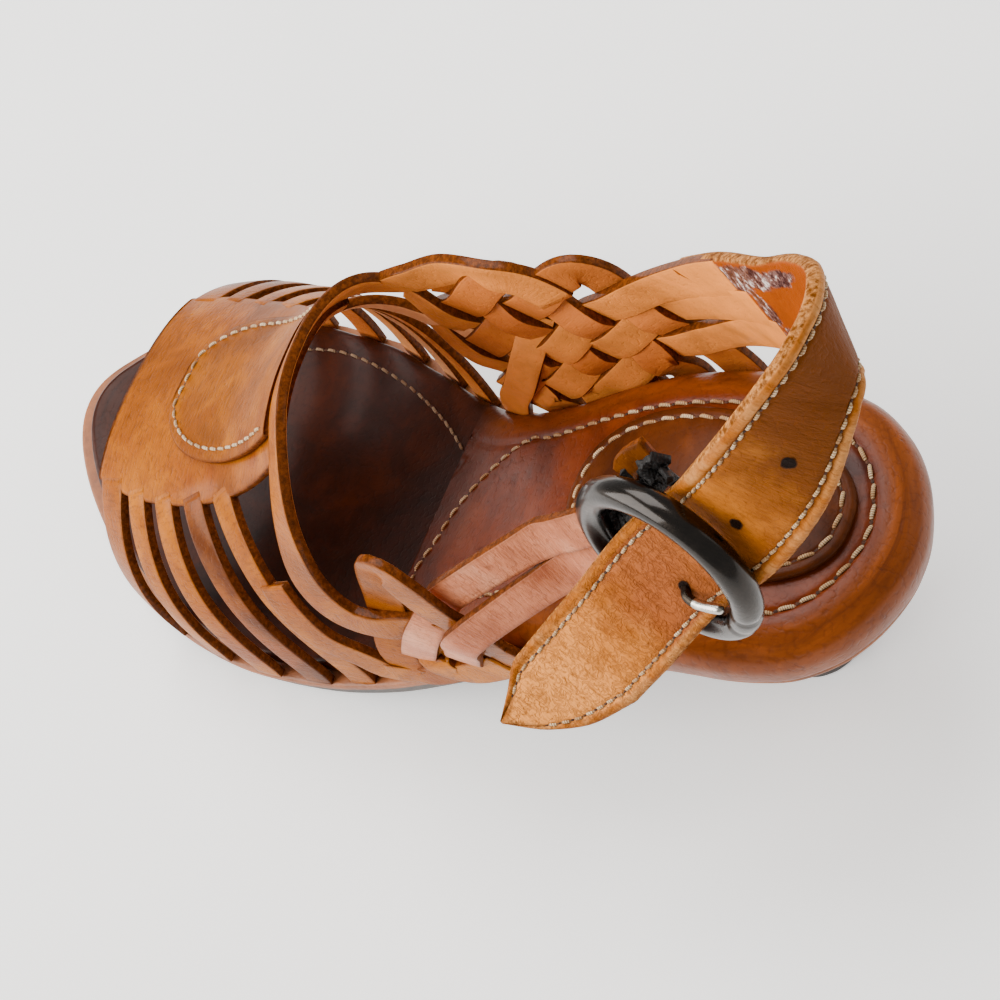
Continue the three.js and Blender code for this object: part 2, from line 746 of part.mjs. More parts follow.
// Elastic tab: a short fold of webbing round the ring
const ELASTIC_AT = new THREE.Vector2(-0.32, -0.95).normalize();
const ELASTIC = { width: 7, thickness: 1.2 };
const ELASTIC_FOLD = table(['out', 'face'], [
  [9, 3.4],
  [5, 3.4],
  [0.5, 4.1],
  [-3, 3],
  [-4.2, 0],
  [-3, -3],
  [0.5, -4.1],
  [5, -2.6],
  [8, -1],
]);

function elasticSolid() {
  const side = ringPoint(-ELASTIC_AT.y, ELASTIC_AT.x, 0).sub(RING_CENTRE);
  const knots = ELASTIC_FOLD.rows.map(([out, face]) => {
    const reach = RING.radius + out;
    return ringPoint(ELASTIC_AT.x * reach, ELASTIC_AT.y * reach, face);
  });
  const curve = new THREE.CatmullRomCurve3(knots, false, 'centripetal');
  const fold = curve.getSpacedPoints(24).map((point, i) => {
    const along = curve.getTangentAt(i / 24);
    return { point, normal: along.clone().cross(side).normalize() };
  });
  return strap(fold, ELASTIC.width, ELASTIC.thickness);
}

// Assembly

const sandal = new THREE.Group();

function addPiece(name, geometry, color, roughness, metalness = 0) {
  const material = new THREE.MeshStandardMaterial({ color, roughness, metalness });
  const mesh = new THREE.Mesh(geometry, material);
  mesh.name = name;
  sandal.add(mesh);
}

const TAN = 0xb5682f;
addPiece('outsole', toGeometry(outsoleSolid()), 0x3a332f, 0.7);
addPiece('heel', toGeometry(heelSolid()), 0x6d3f22, 0.5);
addPiece('heel_lift', toGeometry(liftSolid()), 0x2b2623, 0.8);
addPiece('footbed', toGeometry(footbedSolid()), 0x9a4a20, 0.35);
addPiece('insole', toGeometry(insoleSolid()), 0x4a2014, 0.4);
addPiece('heel_pad', toGeometry(padSolid()), 0x84401f, 0.4);
addPiece('upper', toGeometry(upperSolid()), TAN, 0.45);
addPiece('vamp_overlay', toGeometry(overlaySolid()), TAN, 0.45);
addPiece('ankle_strap', toGeometry(strapSolid()), 0xbf7f3e, 0.55);
addPiece('buckle_chape', toGeometry(chapeSolid()), 0xbd7650, 0.45);
addPiece('elastic_tab', toGeometry(elasticSolid()), 0x1e1512, 0.9);
addPiece('buckle_ring', toGeometry(toManifold(ringGeometry())), 0x4a4640, 0.35, 1);
addPiece('buckle_prong', toGeometry(toManifold(prongGeometry(PRONG_WIRE))), 0xa8a296, 0.3, 1);

// The origin lies on the floor under the middle of the whole sandal
const box = new THREE.Box3().setFromObject(sandal);
const middle = box.getCenter(new THREE.Vector3());
sandal.position.set(-middle.x, -middle.y, -box.min.z);

export default sandal;
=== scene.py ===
"""Looks of a heeled gladiator sandal: woven leather upper, wrapped footbed, ankle strap, ring buckle.

Shapes are worked out in millimetres on the last, with x 0 at the back of the heel, y 0 on the axis of
the heel seat and z 0 on the floor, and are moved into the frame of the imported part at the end.
"""
import math

import bpy
import numpy as np
from mathutils import Matrix, Vector


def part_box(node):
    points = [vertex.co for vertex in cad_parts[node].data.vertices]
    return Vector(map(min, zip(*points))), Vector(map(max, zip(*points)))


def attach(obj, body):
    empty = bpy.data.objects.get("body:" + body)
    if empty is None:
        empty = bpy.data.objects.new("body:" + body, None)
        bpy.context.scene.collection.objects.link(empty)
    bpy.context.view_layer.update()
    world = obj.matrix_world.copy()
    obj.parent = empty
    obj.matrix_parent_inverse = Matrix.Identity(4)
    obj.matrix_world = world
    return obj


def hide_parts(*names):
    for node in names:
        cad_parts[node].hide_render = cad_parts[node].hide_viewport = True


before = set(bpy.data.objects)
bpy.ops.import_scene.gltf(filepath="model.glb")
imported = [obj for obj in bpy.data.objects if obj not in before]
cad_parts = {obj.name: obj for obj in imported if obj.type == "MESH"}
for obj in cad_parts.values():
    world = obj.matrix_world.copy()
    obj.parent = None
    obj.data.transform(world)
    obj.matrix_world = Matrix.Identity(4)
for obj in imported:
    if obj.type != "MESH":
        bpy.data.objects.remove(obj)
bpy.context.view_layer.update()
MM = 0.001
rng = np.random.default_rng(7)

# Driving sizes of the part
LENGTH = 250.0
PITCH = 52.0
RAMP = (36.0, 170.0)
SPRING_START, TOE_SPRING = 212.0, 7.0
SWING_START, TOE_SWING = 150.0, 7.0
BREAK = 136.0
INSOLE_STEP = 1.5
GAP, SOLE_GAP = 0.3, 0.45
LEATHER, STRAP_LEATHER, STRAP_WIDTH = 2.2, 2.6, 22.0
BRAID_LEATHER = LEATHER * 0.92
RING_RADIUS, RING_WIRE = 16.5, 2.9
HEEL_BREAST, HEEL_INSET, LIFT = 58.0, 3.5, 6.0
HEEL_CENTRE = (41.0, 1.5)
WELT = LEATHER + 3 * GAP
# Below the footbed the wall falls straight by the drop for each radian of turn; round shapes its section
DROP, ROUND = 40.0, 0.83
# The wall gives a little, inwards and down, on the outer side of the instep
SAG = {"depth": 3.5, "turn": 2.1, "turn_reach": 0.5, "station": 136.0, "reach": 26.0, "fall": 0.8}
# The half widths of the heel pass into those of the toe over this stretch
WAIST, WAIST_LENGTH = 100.0, 40.0
# Rough length of wall for one radian of turn
TURN_SCALE = 40.0
# Lines of the sole may run this far past its ends
BEYOND = 20

# Last: station, inner half width, outer half width, height of the crown
LAST = np.array([
    (0, 0, 0, 150), (1.5, 9, 9, 150), (5, 17, 17, 150), (10, 23, 23.5, 150), (20, 29, 30, 150),
    (35, 31.5, 33, 150), (60, 29.5, 34, 146), (80, 26.5, 34, 132), (100, 24.5, 35, 112),
    (120, 25, 37.5, 90), (140, 30, 41, 71), (160, 37.5, 44, 57), (178, 42, 45.5, 48),
    (195, 42.5, 44, 41), (210, 39.5, 39.5, 36), (225, 33, 31.5, 32), (238, 24, 21.5, 29),
    (246, 12.5, 12, 27), (250, 0, 0, 26)], float)
# Layers: station, thickness of the footbed, thickness of the sole, inset of the sole
LAYERS = np.array([
    (0, 13, 3.5, 1.5), (45, 13, 3.5, 1.5), (62, 12, 3.5, -WELT), (100, 9.5, 4, -WELT),
    (136, 7, 6, -WELT), (160, 6, 7, -WELT), (250, 6, 7, -WELT)], float)


# Curves

def unit(v):
    return v / np.maximum(np.linalg.norm(v, axis=-1, keepdims=True), 1e-9)


def ease(t):
    """Smooth step from 0 to 1."""
    t = np.clip(t, 0, 1)
    return t * t * (3 - 2 * t)


def bell(*offsets):
    """1 where all offsets are 0, falling away smoothly."""
    return np.exp(-sum(np.square(offset) for offset in offsets))


def hermite(t, a, b, slope_a, slope_b):
    """Cubic from a to b with a slope at each end."""
    return ((2 * t**3 - 3 * t**2 + 1) * a + (t**3 - 2 * t**2 + t) * slope_a
            + (3 * t**2 - 2 * t**3) * b + (t**3 - t**2) * slope_b)


def smooth(x, y):
    """Monotone cubic through the points of a table."""
    x, y = np.asarray(x, float), np.asarray(y, float)
    chord = np.diff(y) / np.diff(x)
    slope = np.r_[chord[0], np.zeros(len(x) - 2), chord[-1]]
    for i in range(1, len(x) - 1):
        a, b = chord[i - 1], chord[i]
        slope[i] = 0 if a * b <= 0 else 2 * a * b / (a + b)

    def at(v):
        v = np.clip(v, x[0], x[-1])
        i = np.clip(np.searchsorted(x, v) - 1, 0, len(x) - 2)
        h = x[i + 1] - x[i]
        return hermite((v - x[i]) / h, y[i], y[i + 1], h * slope[i], h * slope[i + 1])
    return at


def rounded(column):
    """A half width of the last, drawn with round ends at the heel and the toe."""
    s = LAST[:, 0]
    rear = smooth(np.sqrt(s), column)
    fore = smooth(np.sqrt(LENGTH - s[::-1]), column[::-1])

    def at(v):
        v = np.clip(v, 0, LENGTH)
        t = ease((v - WAIST) / WAIST_LENGTH)
        return rear(np.sqrt(v)) * (1 - t) + fore(np.sqrt(LENGTH - v)) * t
    return at


def catmull(knots, count):
    """Centripetal curve through knots: points and the knot number that each lies at."""
    k = np.asarray(knots, float)
    k = np.vstack([2 * k[0] - k[1], k, 2 * k[-1] - k[-2]])
    where = np.linspace(0, len(k) - 3, count)
    i = np.minimum(where.astype(int), len(k) - 4)
    p0, p1, p2, p3 = k[i], k[i + 1], k[i + 2], k[i + 3]
    d0, d1, d2 = (np.maximum(np.linalg.norm(b - a, axis=1, keepdims=True), 1e-4) ** 0.5
                  for a, b in ((p0, p1), (p1, p2), (p2, p3)))
    m1 = ((p1 - p0) / d0 - (p2 - p0) / (d0 + d1) + (p2 - p1) / d1) * d1
    m2 = ((p2 - p1) / d1 - (p3 - p1) / (d1 + d2) + (p3 - p2) / d2) * d1
    return hermite((where - i)[:, None], p1, p2, m1, m2), where


def arc_length(points):
    return np.r_[0, np.cumsum(np.linalg.norm(np.diff(points, axis=0), axis=1))]


def even(points, step):
    """Points resampled at an even step along their line."""
    length = arc_length(points)
    at = np.linspace(0, length[-1], max(2, int(round(length[-1] / step)) + 1))
    return np.stack([np.interp(at, length, points[:, k]) for k in range(points.shape[1])], 1)


def around(count):
    """Even angles round a circle."""
    return np.linspace(0, 2 * math.pi, count, endpoint=False)


# The sole and the last

medial, lateral = rounded(LAST[:, 1]), rounded(LAST[:, 2])
crown = smooth(LAST[:, 0], LAST[:, 3])
bed, sole, sole_inset = (smooth(LAYERS[:, 0], LAYERS[:, k]) for k in (1, 2, 3))
BALL_TOP = float(bed(LENGTH) + sole(LENGTH)) + SOLE_GAP


def bed_height(s):
    spring = np.maximum(0, (s - SPRING_START) / (LENGTH - SPRING_START))
    return BALL_TOP + PITCH * (1 - ease((s - RAMP[0]) / (RAMP[1] - RAMP[0]))) + TOE_SPRING * spring**2


def bed_slope(s):
    d = 0.05
    return (bed_height(s + d) - bed_height(s - d)) / (2 * d)


SPINE_STEPS = np.arange(0, LENGTH + BEYOND + 1)
SPINE_X = np.r_[0, -np.cumsum(np.sqrt(1 - bed_slope(SPINE_STEPS[:-1] + 0.5) ** 2))]


def spine_x(s):
    return np.interp(s, SPINE_STEPS, SPINE_X)


def swing(s):
    return TOE_SWING * np.maximum(0, (s - SWING_START) / (LENGTH - SWING_START)) ** 2


def sole_point(s, y, depth):
    """Station, distance across and depth square to the footbed."""
    s, y, depth = np.broadcast_arrays(np.asarray(s, float), y, depth)
    slope = bed_slope(s)
    rise = np.sqrt(1 - slope**2)
    return np.stack([spine_x(s) - depth * slope, y, bed_height(s) - depth * rise], -1)


def last_point(s, turn):
    """The wall of the last: turn 0 at the inner edge of the footbed, pi at the outer edge."""
    s, turn = np.broadcast_arrays(np.asarray(s, float), np.asarray(turn, float))
    within = np.clip(turn, 0, math.pi)
    lean = np.cos(within)
    half = np.where(lean > 0, medial(s), lateral(s)) + 3 * GAP + LEATHER / 2
    y = swing(s) + np.sign(lean) * half * np.abs(lean) ** ROUND
    rise = crown(s) * np.maximum(0, np.sin(within)) ** ROUND
    fall = DROP * np.maximum(0, np.maximum(-turn, turn - math.pi))
    sag = SAG["depth"] * bell((turn - SAG["turn"]) / SAG["turn_reach"], (s - SAG["station"]) / SAG["reach"])
    return np.stack([spine_x(s), y + sag, bed_height(s) + rise - fall - SAG["fall"] * sag], -1)


def station(s, turn, lift):
    """Point at a lift from the wall, and the wall's outward normal."""
    d = 0.02
    along = last_point(s + d, turn) - last_point(s - d, turn)
    normal = unit(np.cross(last_point(s, turn + d) - last_point(s, turn - d), along))
    point = last_point(s, turn)
    outward = np.stack([0 * point[..., 0], point[..., 1] - swing(s),
                        np.maximum(0, point[..., 2] - bed_height(s))], -1)
    normal = normal * np.where((normal * outward).sum(-1) < 0, -1, 1)[..., None]
    return point + normal * np.asarray(lift)[..., None], normal


def turn_at(s, height, side):
    """Turn of the wall at a height over the footbed; side is 1 for the inner side and -1 for the outer."""
    share = np.clip(np.asarray(height, float) / crown(s), 0, 1)
    inner = np.where(np.asarray(height) < 0, np.asarray(height) / DROP, np.arcsin(share ** (1 / ROUND)))
    return inner if side > 0 else math.pi - inner


def wall_row(s, height, side, lift):
    """Station, turn and lift of a place at a height over the footbed."""
    return s, float(turn_at(s, height, side)), lift


def sole_drop(s):
    return -(bed(s) + LEATHER) / np.sqrt(1 - bed_slope(s) ** 2)


# Meshes

HEEL_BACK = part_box("footbed")[1].x / MM
PAD_LOW, PAD_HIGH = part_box("heel_pad")
ORIGIN = np.array([HEEL_BACK, (PAD_LOW.y + PAD_HIGH.y) / 2 / MM, 0])


def add_object(name, data):
    obj = bpy.data.objects.new(name, data)
    bpy.context.scene.collection.objects.link(obj)
    return obj


class Skin:
    """A mesh with its place on the strip (along, across, tone), its side and its way in from the edge."""

    def __init__(self):
        self.points, self.faces, self.strip, self.side, self.edge = [], [], [], [], []
        self.count = 0

    def add(self, points, faces, strip=None, side=1.0, edge=1.0):
        points = np.asarray(points, float)
        strip = np.zeros(points.shape) if strip is None else np.asarray(strip, float)
        self.points.append(points.reshape(-1, 3))
        self.strip.append(strip.reshape(-1, 3))
        for column, value in ((self.side, side), (self.edge, edge)):
            column.append(np.broadcast_to(np.asarray(value, float), points.shape[:-1]).ravel())
        self.faces += [[i + self.count for i in f] for f in faces]
        self.count += len(self.points[-1])

    def make(self, name, material, slot, *nodes):
        mesh = bpy.data.meshes.new(name)
        points = (np.vstack(self.points) + ORIGIN) * MM
        mesh.from_pydata(points.tolist(), [], self.faces)
        for key, kind, field, rows in (("strip", "FLOAT_VECTOR", "vector", np.vstack(self.strip)),
                                       ("side", "FLOAT", "value", np.concatenate(self.side)),
                                       ("edge", "FLOAT", "value", np.concatenate(self.edge))):
            mesh.attributes.new(key, kind, "POINT").data.foreach_set(field, rows.ravel().astype(np.float32))
        mesh.polygons.foreach_set("use_smooth", [True] * len(mesh.polygons))
        mesh.validate()
        mesh.update()
        mesh.materials.append(material)
        obj = add_object(name, mesh)
        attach(obj, "root")
        if nodes:
            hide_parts(*nodes)


def grid_faces(rows, columns, wrap):
    """Quads of a grid of points; wrap joins the last column to the first."""
    faces = []
    for i in range(rows - 1):
        for j in range(columns if wrap else columns - 1):
            k = (j + 1) % columns
            faces.append([i * columns + j, i * columns + k, (i + 1) * columns + k, (i + 1) * columns + j])
    return faces


def tube_faces(rows, columns, flip=False):
    """A grid wrapped into a tube with a face over each end; flip turns the two end faces round."""
    first = list(range(columns))
    last = [(rows - 1) * columns + j for j in range(columns)]
    return grid_faces(rows, columns, True) + ([first, last[::-1]] if flip else [first[::-1], last])


# Section of a strip round its edge: place across, share of half the thickness, side of the leather
CUT = [(-0.95, 0.98, 1), (-0.8, 1.02, 1), (-0.4, 1.06, 1), (0, 1.08, 1), (0.4, 1.06, 1), (0.8, 1.02, 1),
       (0.95, 0.98, 1), (0.99, 0.86, 0.4), (1, 0.6, 0), (1, -0.6, 0), (0.985, -0.9, -0.4), (0.93, -1, -1),
       (0.5, -1, -1), (-0.5, -1, -1), (-0.93, -1, -1), (-0.985, -0.9, -0.4), (-1, -0.6, 0), (-1, 0.6, 0),
       (-0.99, 0.86, 0.4)]
FIRST_CUT_EDGE, SECOND_CUT_EDGE = CUT[7:11], CUT[15:19]
# The ankle strap has a stitched channel inside a rounded bead along each edge
BEADED_HALF = [(0, 1, 1), (0.35, 1.02, 1), (0.6, 1, 1), (0.69, 0.94, 1), (0.745, 0.62, 1), (0.80, 0.9, 1),
               (0.86, 1.12, 1), (0.92, 1.1, 1), (0.97, 0.85, 0.7), (1, 0.4, 0), (1, -0.5, 0),
               (0.97, -0.92, -0.5), (0.9, -1, -1), (0.4, -1, -1)]
BEADED = ([(-v, h, k) for v, h, k in BEADED_HALF[9:0:-1]] + BEADED_HALF
          + [(-v, h, k) for v, h, k in BEADED_HALF[:9:-1]])


def ribbon(skin, points, normals, width, thickness, section=CUT, tone=None, relief=None, start=0.0):
    """A strip of leather along points, with normals to its face.

    Width is one number or two edges a point; relief raises the face by its place along and across.
    """
    tone = rng.random() if tone is None else tone
    along = unit(np.gradient(points, axis=0))
    across = unit(np.cross(normals, along))
    face = np.cross(along, across)
    if np.isscalar(width):
        edges = np.full((len(points), 2), width / 2)
    else:
        edges = np.asarray(width, float)
    v, h, side = np.array(section, float).T
    low, high = -edges[:, 1:2], edges[:, 0:1]
    place = low + (high - low) * (v + 1) / 2
    run = start + arc_length(points)[:, None] + 0 * place
    height = h * thickness / 2 + 0 * place
    if relief is not None:
        height = height + relief(run, place) * (side > 0.5)
    grid = points[:, None] + across[:, None] * place[..., None] + face[:, None] * height[..., None]
    strip = np.dstack([run, place, tone + 0 * place])
    skin.add(grid, tube_faces(*place.shape), strip, side, np.minimum(high - place, place - low))


def route_on_last(rows, step=1.6):
    """A smooth line over the last through rows of station, turn and lift."""
    scale = np.array([1, TURN_SCALE, 1])
    line = even(catmull(np.asarray(rows, float) * scale, 160)[0], step) / scale
    return station(line[:, 0], line[:, 1], line[:, 2])


def route_in_air(knots, count=240, step=1.0):
    """A smooth line through knots of a point and a normal."""
    knots = np.asarray(knots, float)
    points, where = catmull(knots[:, :3], count)
    normals = np.stack([np.interp(where, range(len(knots)), knots[:, k]) for k in (3, 4, 5)], 1)
    rows = even(np.hstack([points, unit(normals)]), step)
    for _ in range(6):
        rows[1:-1, 3:] = (rows[:-2, 3:] + 2 * rows[1:-1, 3:] + rows[2:, 3:]) / 4
    return rows[:, :3], unit(rows[:, 3:])


STITCH_STEPS, STITCH_SIDES = 7, 8
# Rise of a stitch at its middle, its dip at both ends and its taper, as shares of the thread's radius
STITCH_RISE, STITCH_DIP, STITCH_TAPER = 0.75, 1.5, 0.55
# Rings of a needle pit: share of the thread's radius, rise over the leather
PIT_RINGS = ((0.85, 0.06), (0.3, 0.16))
PIT_LENGTH = 1.2


def stitches(skin, pits, points, normals, pitch, length, radius, slant):
    """Thread stitches along a line, each dipping into the leather at both ends, with a needle pit between."""
    rows = even(np.hstack([points, normals]), pitch / 12)
    place, normal = rows[:, :3], unit(rows[:, 3:])
    distance = arc_length(place)
    lengthwise = unit(np.gradient(place, axis=0))
    t = np.linspace(-1, 1, STITCH_STEPS)
    rise = radius * (STITCH_RISE - STITCH_DIP * t**4)
    size = radius * np.sqrt(1 - STITCH_TAPER * t**4)
    spin = around(STITCH_SIDES)
    cosine, sine = np.cos(spin)[:, None], np.sin(spin)[:, None]
    faces = tube_faces(STITCH_STEPS, STITCH_SIDES)
    pit_faces = grid_faces(2, STITCH_SIDES, True) + [list(range(STITCH_SIDES, 2 * STITCH_SIDES))]
    for start in np.arange(pitch / 2, distance[-1] - pitch / 2, pitch):
        i = int(np.searchsorted(distance, start))
        up = normal[i]
        along = unit(lengthwise[i] + slant * np.cross(lengthwise[i], up))
        centre = place[i] + along * (t[:, None] * length / 2) + up * rise[:, None]
        ring = centre[:, None] + size[:, None, None] * (np.cross(along, up) * cosine + up * sine)
        skin.add(ring, faces, np.stack(np.broadcast_arrays(t[:, None] * length, spin, rng.random()), -1))
        k = min(int(np.searchsorted(distance, start + pitch / 2)), len(place) - 1)
        flat = lengthwise[k] * cosine * PIT_LENGTH + np.cross(lengthwise[k], normal[k]) * sine
        pit = [place[k] + flat * radius * share + normal[k] * lift for share, lift in PIT_RINGS]
        pits.add(pit, pit_faces)


# Materials

def srgb(*values):
    """A colour as seen on a screen, 0 to 255, in linear light."""
    shares = [v / 255 for v in values]
    return tuple(c / 12.92 if c <= 0.04045 else ((c + 0.055) / 1.055) ** 2.4 for c in shares)


def vivid(values, boost=1.18):
    """A screen colour in linear light, with its saturation raised."""
    colour = srgb(*values)
    grey = 0.2126 * colour[0] + 0.7152 * colour[1] + 0.0722 * colour[2]
    return tuple(max(0.0015, grey + boost * (c - grey)) for c in colour)


def brighter(colour, factor):
    return tuple(factor * c for c in colour)


def halfway(a, b):
    return tuple((p + q) / 2 for p, q in zip(a, b))


class Value:
    """What a node gives out, so that sums of nodes are written as plain sums."""

    def __init__(self, shader, socket):
        self.shader, self.socket = shader, socket

    def __add__(self, other):
        return self.shader.math("ADD", self, other)

    def __sub__(self, other):
        return self.shader.math("SUBTRACT", self, other)

    def __mul__(self, other):
        return self.shader.math("MULTIPLY", self, other)

    def __truediv__(self, other):
        return self.shader.math("DIVIDE", self, other)

    def __abs__(self):
        return self.shader.math("ABSOLUTE", self)


class Shader:
    """A material built from nodes, with short names for the nodes that leather needs."""

    def __init__(self, name, roughness, metallic=0.0, coat=0.0, coat_roughness=0.3, specular=0.5):
        self.material = bpy.data.materials.new(name)
        self.material.use_nodes = True
        self.tree = self.material.node_tree
        self.tree.nodes.clear()
        self.bsdf = self.node("ShaderNodeBsdfPrincipled")
        output = self.node("ShaderNodeOutputMaterial")
        self.tree.links.new(self.bsdf.outputs[0], output.inputs[0])
        for socket, value in (("Roughness", roughness), ("Metallic", metallic), ("Coat Weight", coat),
                              ("Coat Roughness", coat_roughness), ("Specular IOR Level", specular)):
            self.set(socket, value)
        self.where = self.value("ShaderNodeTexCoord", "Object")

    def node(self, kind, inputs=(), **settings):
        made = self.tree.nodes.new(kind)
        for key, value in settings.items():
            setattr(made, key, value)
        for key, value in dict(inputs).items():
            self.put(made.inputs[key], value)
        return made

    def value(self, kind, output, inputs=(), **settings):
        return Value(self, self.node(kind, inputs, **settings).outputs[output])

    def put(self, socket, value):
        if isinstance(value, Value):
            self.tree.links.new(value.socket, socket)
        elif isinstance(value, tuple) and len(value) == 3 and socket.type == "RGBA":
            socket.default_value = (*value, 1)
        else:
            socket.default_value = value

    def set(self, socket, value):
        self.put(self.bsdf.inputs[socket], value)

    def attribute(self, name, output="Fac"):
        return self.value("ShaderNodeAttribute", output, attribute_name=name)

    def parts(self, vector):
        made = self.node("ShaderNodeSeparateXYZ", {0: vector})
        return [Value(self, socket) for socket in made.outputs]

    def strip(self):
        """Along, across and tone of the strip, as three values."""
        return self.parts(self.attribute("strip", "Vector"))

    def math(self, operation, a, b=0.0, clamp=False):
        return self.value("ShaderNodeMath", 0, {0: a, 1: b}, operation=operation, use_clamp=clamp)

    def between(self, value, low, high):
        """0 below low, 1 above high, smooth between; low may be above high."""
        return self.value("ShaderNodeMapRange", 0, {0: value, 1: low, 2: high, 3: 0.0, 4: 1.0},
                          interpolation_type="SMOOTHSTEP")

    def mix(self, share, a, b):
        made = self.node("ShaderNodeMix", data_type="RGBA")
        for key, value in ((0, share), (6, a), (7, b)):
            self.put(made.inputs[key], value)
        return Value(self, made.outputs[2])

    def ramp(self, value, *stops):
        made = self.node("ShaderNodeValToRGB", {0: value})
        ramp = made.color_ramp
        while len(ramp.elements) < len(stops):
            ramp.elements.new(0.5)
        for element, (at, colour) in zip(ramp.elements, stops):
            element.position = at
            element.color = (*colour, 1)
        return Value(self, made.outputs[0])

    def vector(self, x, y, z=0.0):
        return self.value("ShaderNodeCombineXYZ", 0, {0: x, 1: y, 2: z})

    def length(self, vector):
        return self.value("ShaderNodeVectorMath", "Value", {0: vector}, operation="LENGTH")

    def stretched(self, factors):
        return self.value("ShaderNodeVectorMath", 0, {0: self.where, 1: factors}, operation="MULTIPLY")

    def noise(self, scale, detail, rough, warp=0.0, at=None):
        """Noise at a place; the scale is in waves a metre where no other place is given."""
        return self.value("ShaderNodeTexNoise", 0, {
            "Vector": at or self.where, "Scale": scale, "Detail": detail, "Roughness": rough,
            "Distortion": warp})

    def cells(self, scale):
        return self.value("ShaderNodeTexVoronoi", 0, {"Vector": self.where, "Scale": scale}, feature="F1")

    def bump(self, height, strength, distance):
        made = self.value("ShaderNodeBump", 0, {"Height": height, "Strength": strength, "Distance": distance})
        self.set("Normal", made)


class Hide(Shader):
    """Leather that knows its place on the strip, its side and its way in from the edge."""

    def __init__(self, *settings):
        super().__init__(*settings)
        self.along, self.across, self.tone = self.strip()
        self.side, self.edge = self.attribute("side"), self.attribute("edge")

    def tinted(self, colour, zones):
        """Zones along the strip: stains, painted shade and painted light; along, reach, colour, strength."""
        ragged = self.noise(90, 4, 0.65) - 0.5
        for middle, reach, colour_mark, strength in zones:
            spread = abs(self.along - middle) + ragged * reach
            colour = self.mix(self.between(spread, reach, reach * 0.25) * strength, colour, vivid(colour_mark))
        return colour

    def glued(self, patches):
        """How far old glue covers the leather: patches at along and across, with a reach each way."""
        torn = self.noise(330, 4, 0.7, 0.5)
        share = 0.0
        for at, over, reach, width in patches:
            far = self.length(self.vector((self.along - at) / reach, (self.across - over) / width))
            share = self.math("MAXIMUM", share, self.between(far + torn, 1.45, 1.2))
        return share

    def punched(self, colour, height, holes, rubbed):
        """Holes at along and across, painted dark for the shade inside them, each with a rubbed place round
        it.
        """
        frayed = (self.noise(800, 2, 0.5) - 0.5) * 0.9
        front = self.between(self.side, 0.3, 0.9)
        for at, over in holes:
            far = self.length(self.vector(self.along - at, self.across - over)) + frayed
            colour = self.mix(self.between(far, 3.2, 1.0) * 0.5 * front, colour, rubbed)
            hole = self.between(far, 1.45, 1.0) * front
            # Painted shade: the inside of the hole is a dark colour with a dent in the bump
            colour = self.mix(hole, colour, srgb(24, 12, 7))
            height = height - hole * 2.2
        return colour, height

    def inside(self, shade, cloud, dark, flesh, varied):
        """A smooth flesh side; varied is how far it differs from strip to strip."""
        colour = self.ramp(shade, (0.3, halfway(dark, flesh)), (0.5, flesh), (0.7, brighter(flesh, 1.35)))
        if varied:
            ruddy = self.mix(self.between(cloud, 0.35, 0.6), vivid((160, 80, 44)), vivid((204, 118, 78)))
            colour = self.mix(self.between(self.tone, 0.5, 0.15) * varied, colour, ruddy)
            colour = self.mix(self.between(self.tone, 0.6, 0.95) * varied, colour, vivid((240, 186, 146)))
        return colour


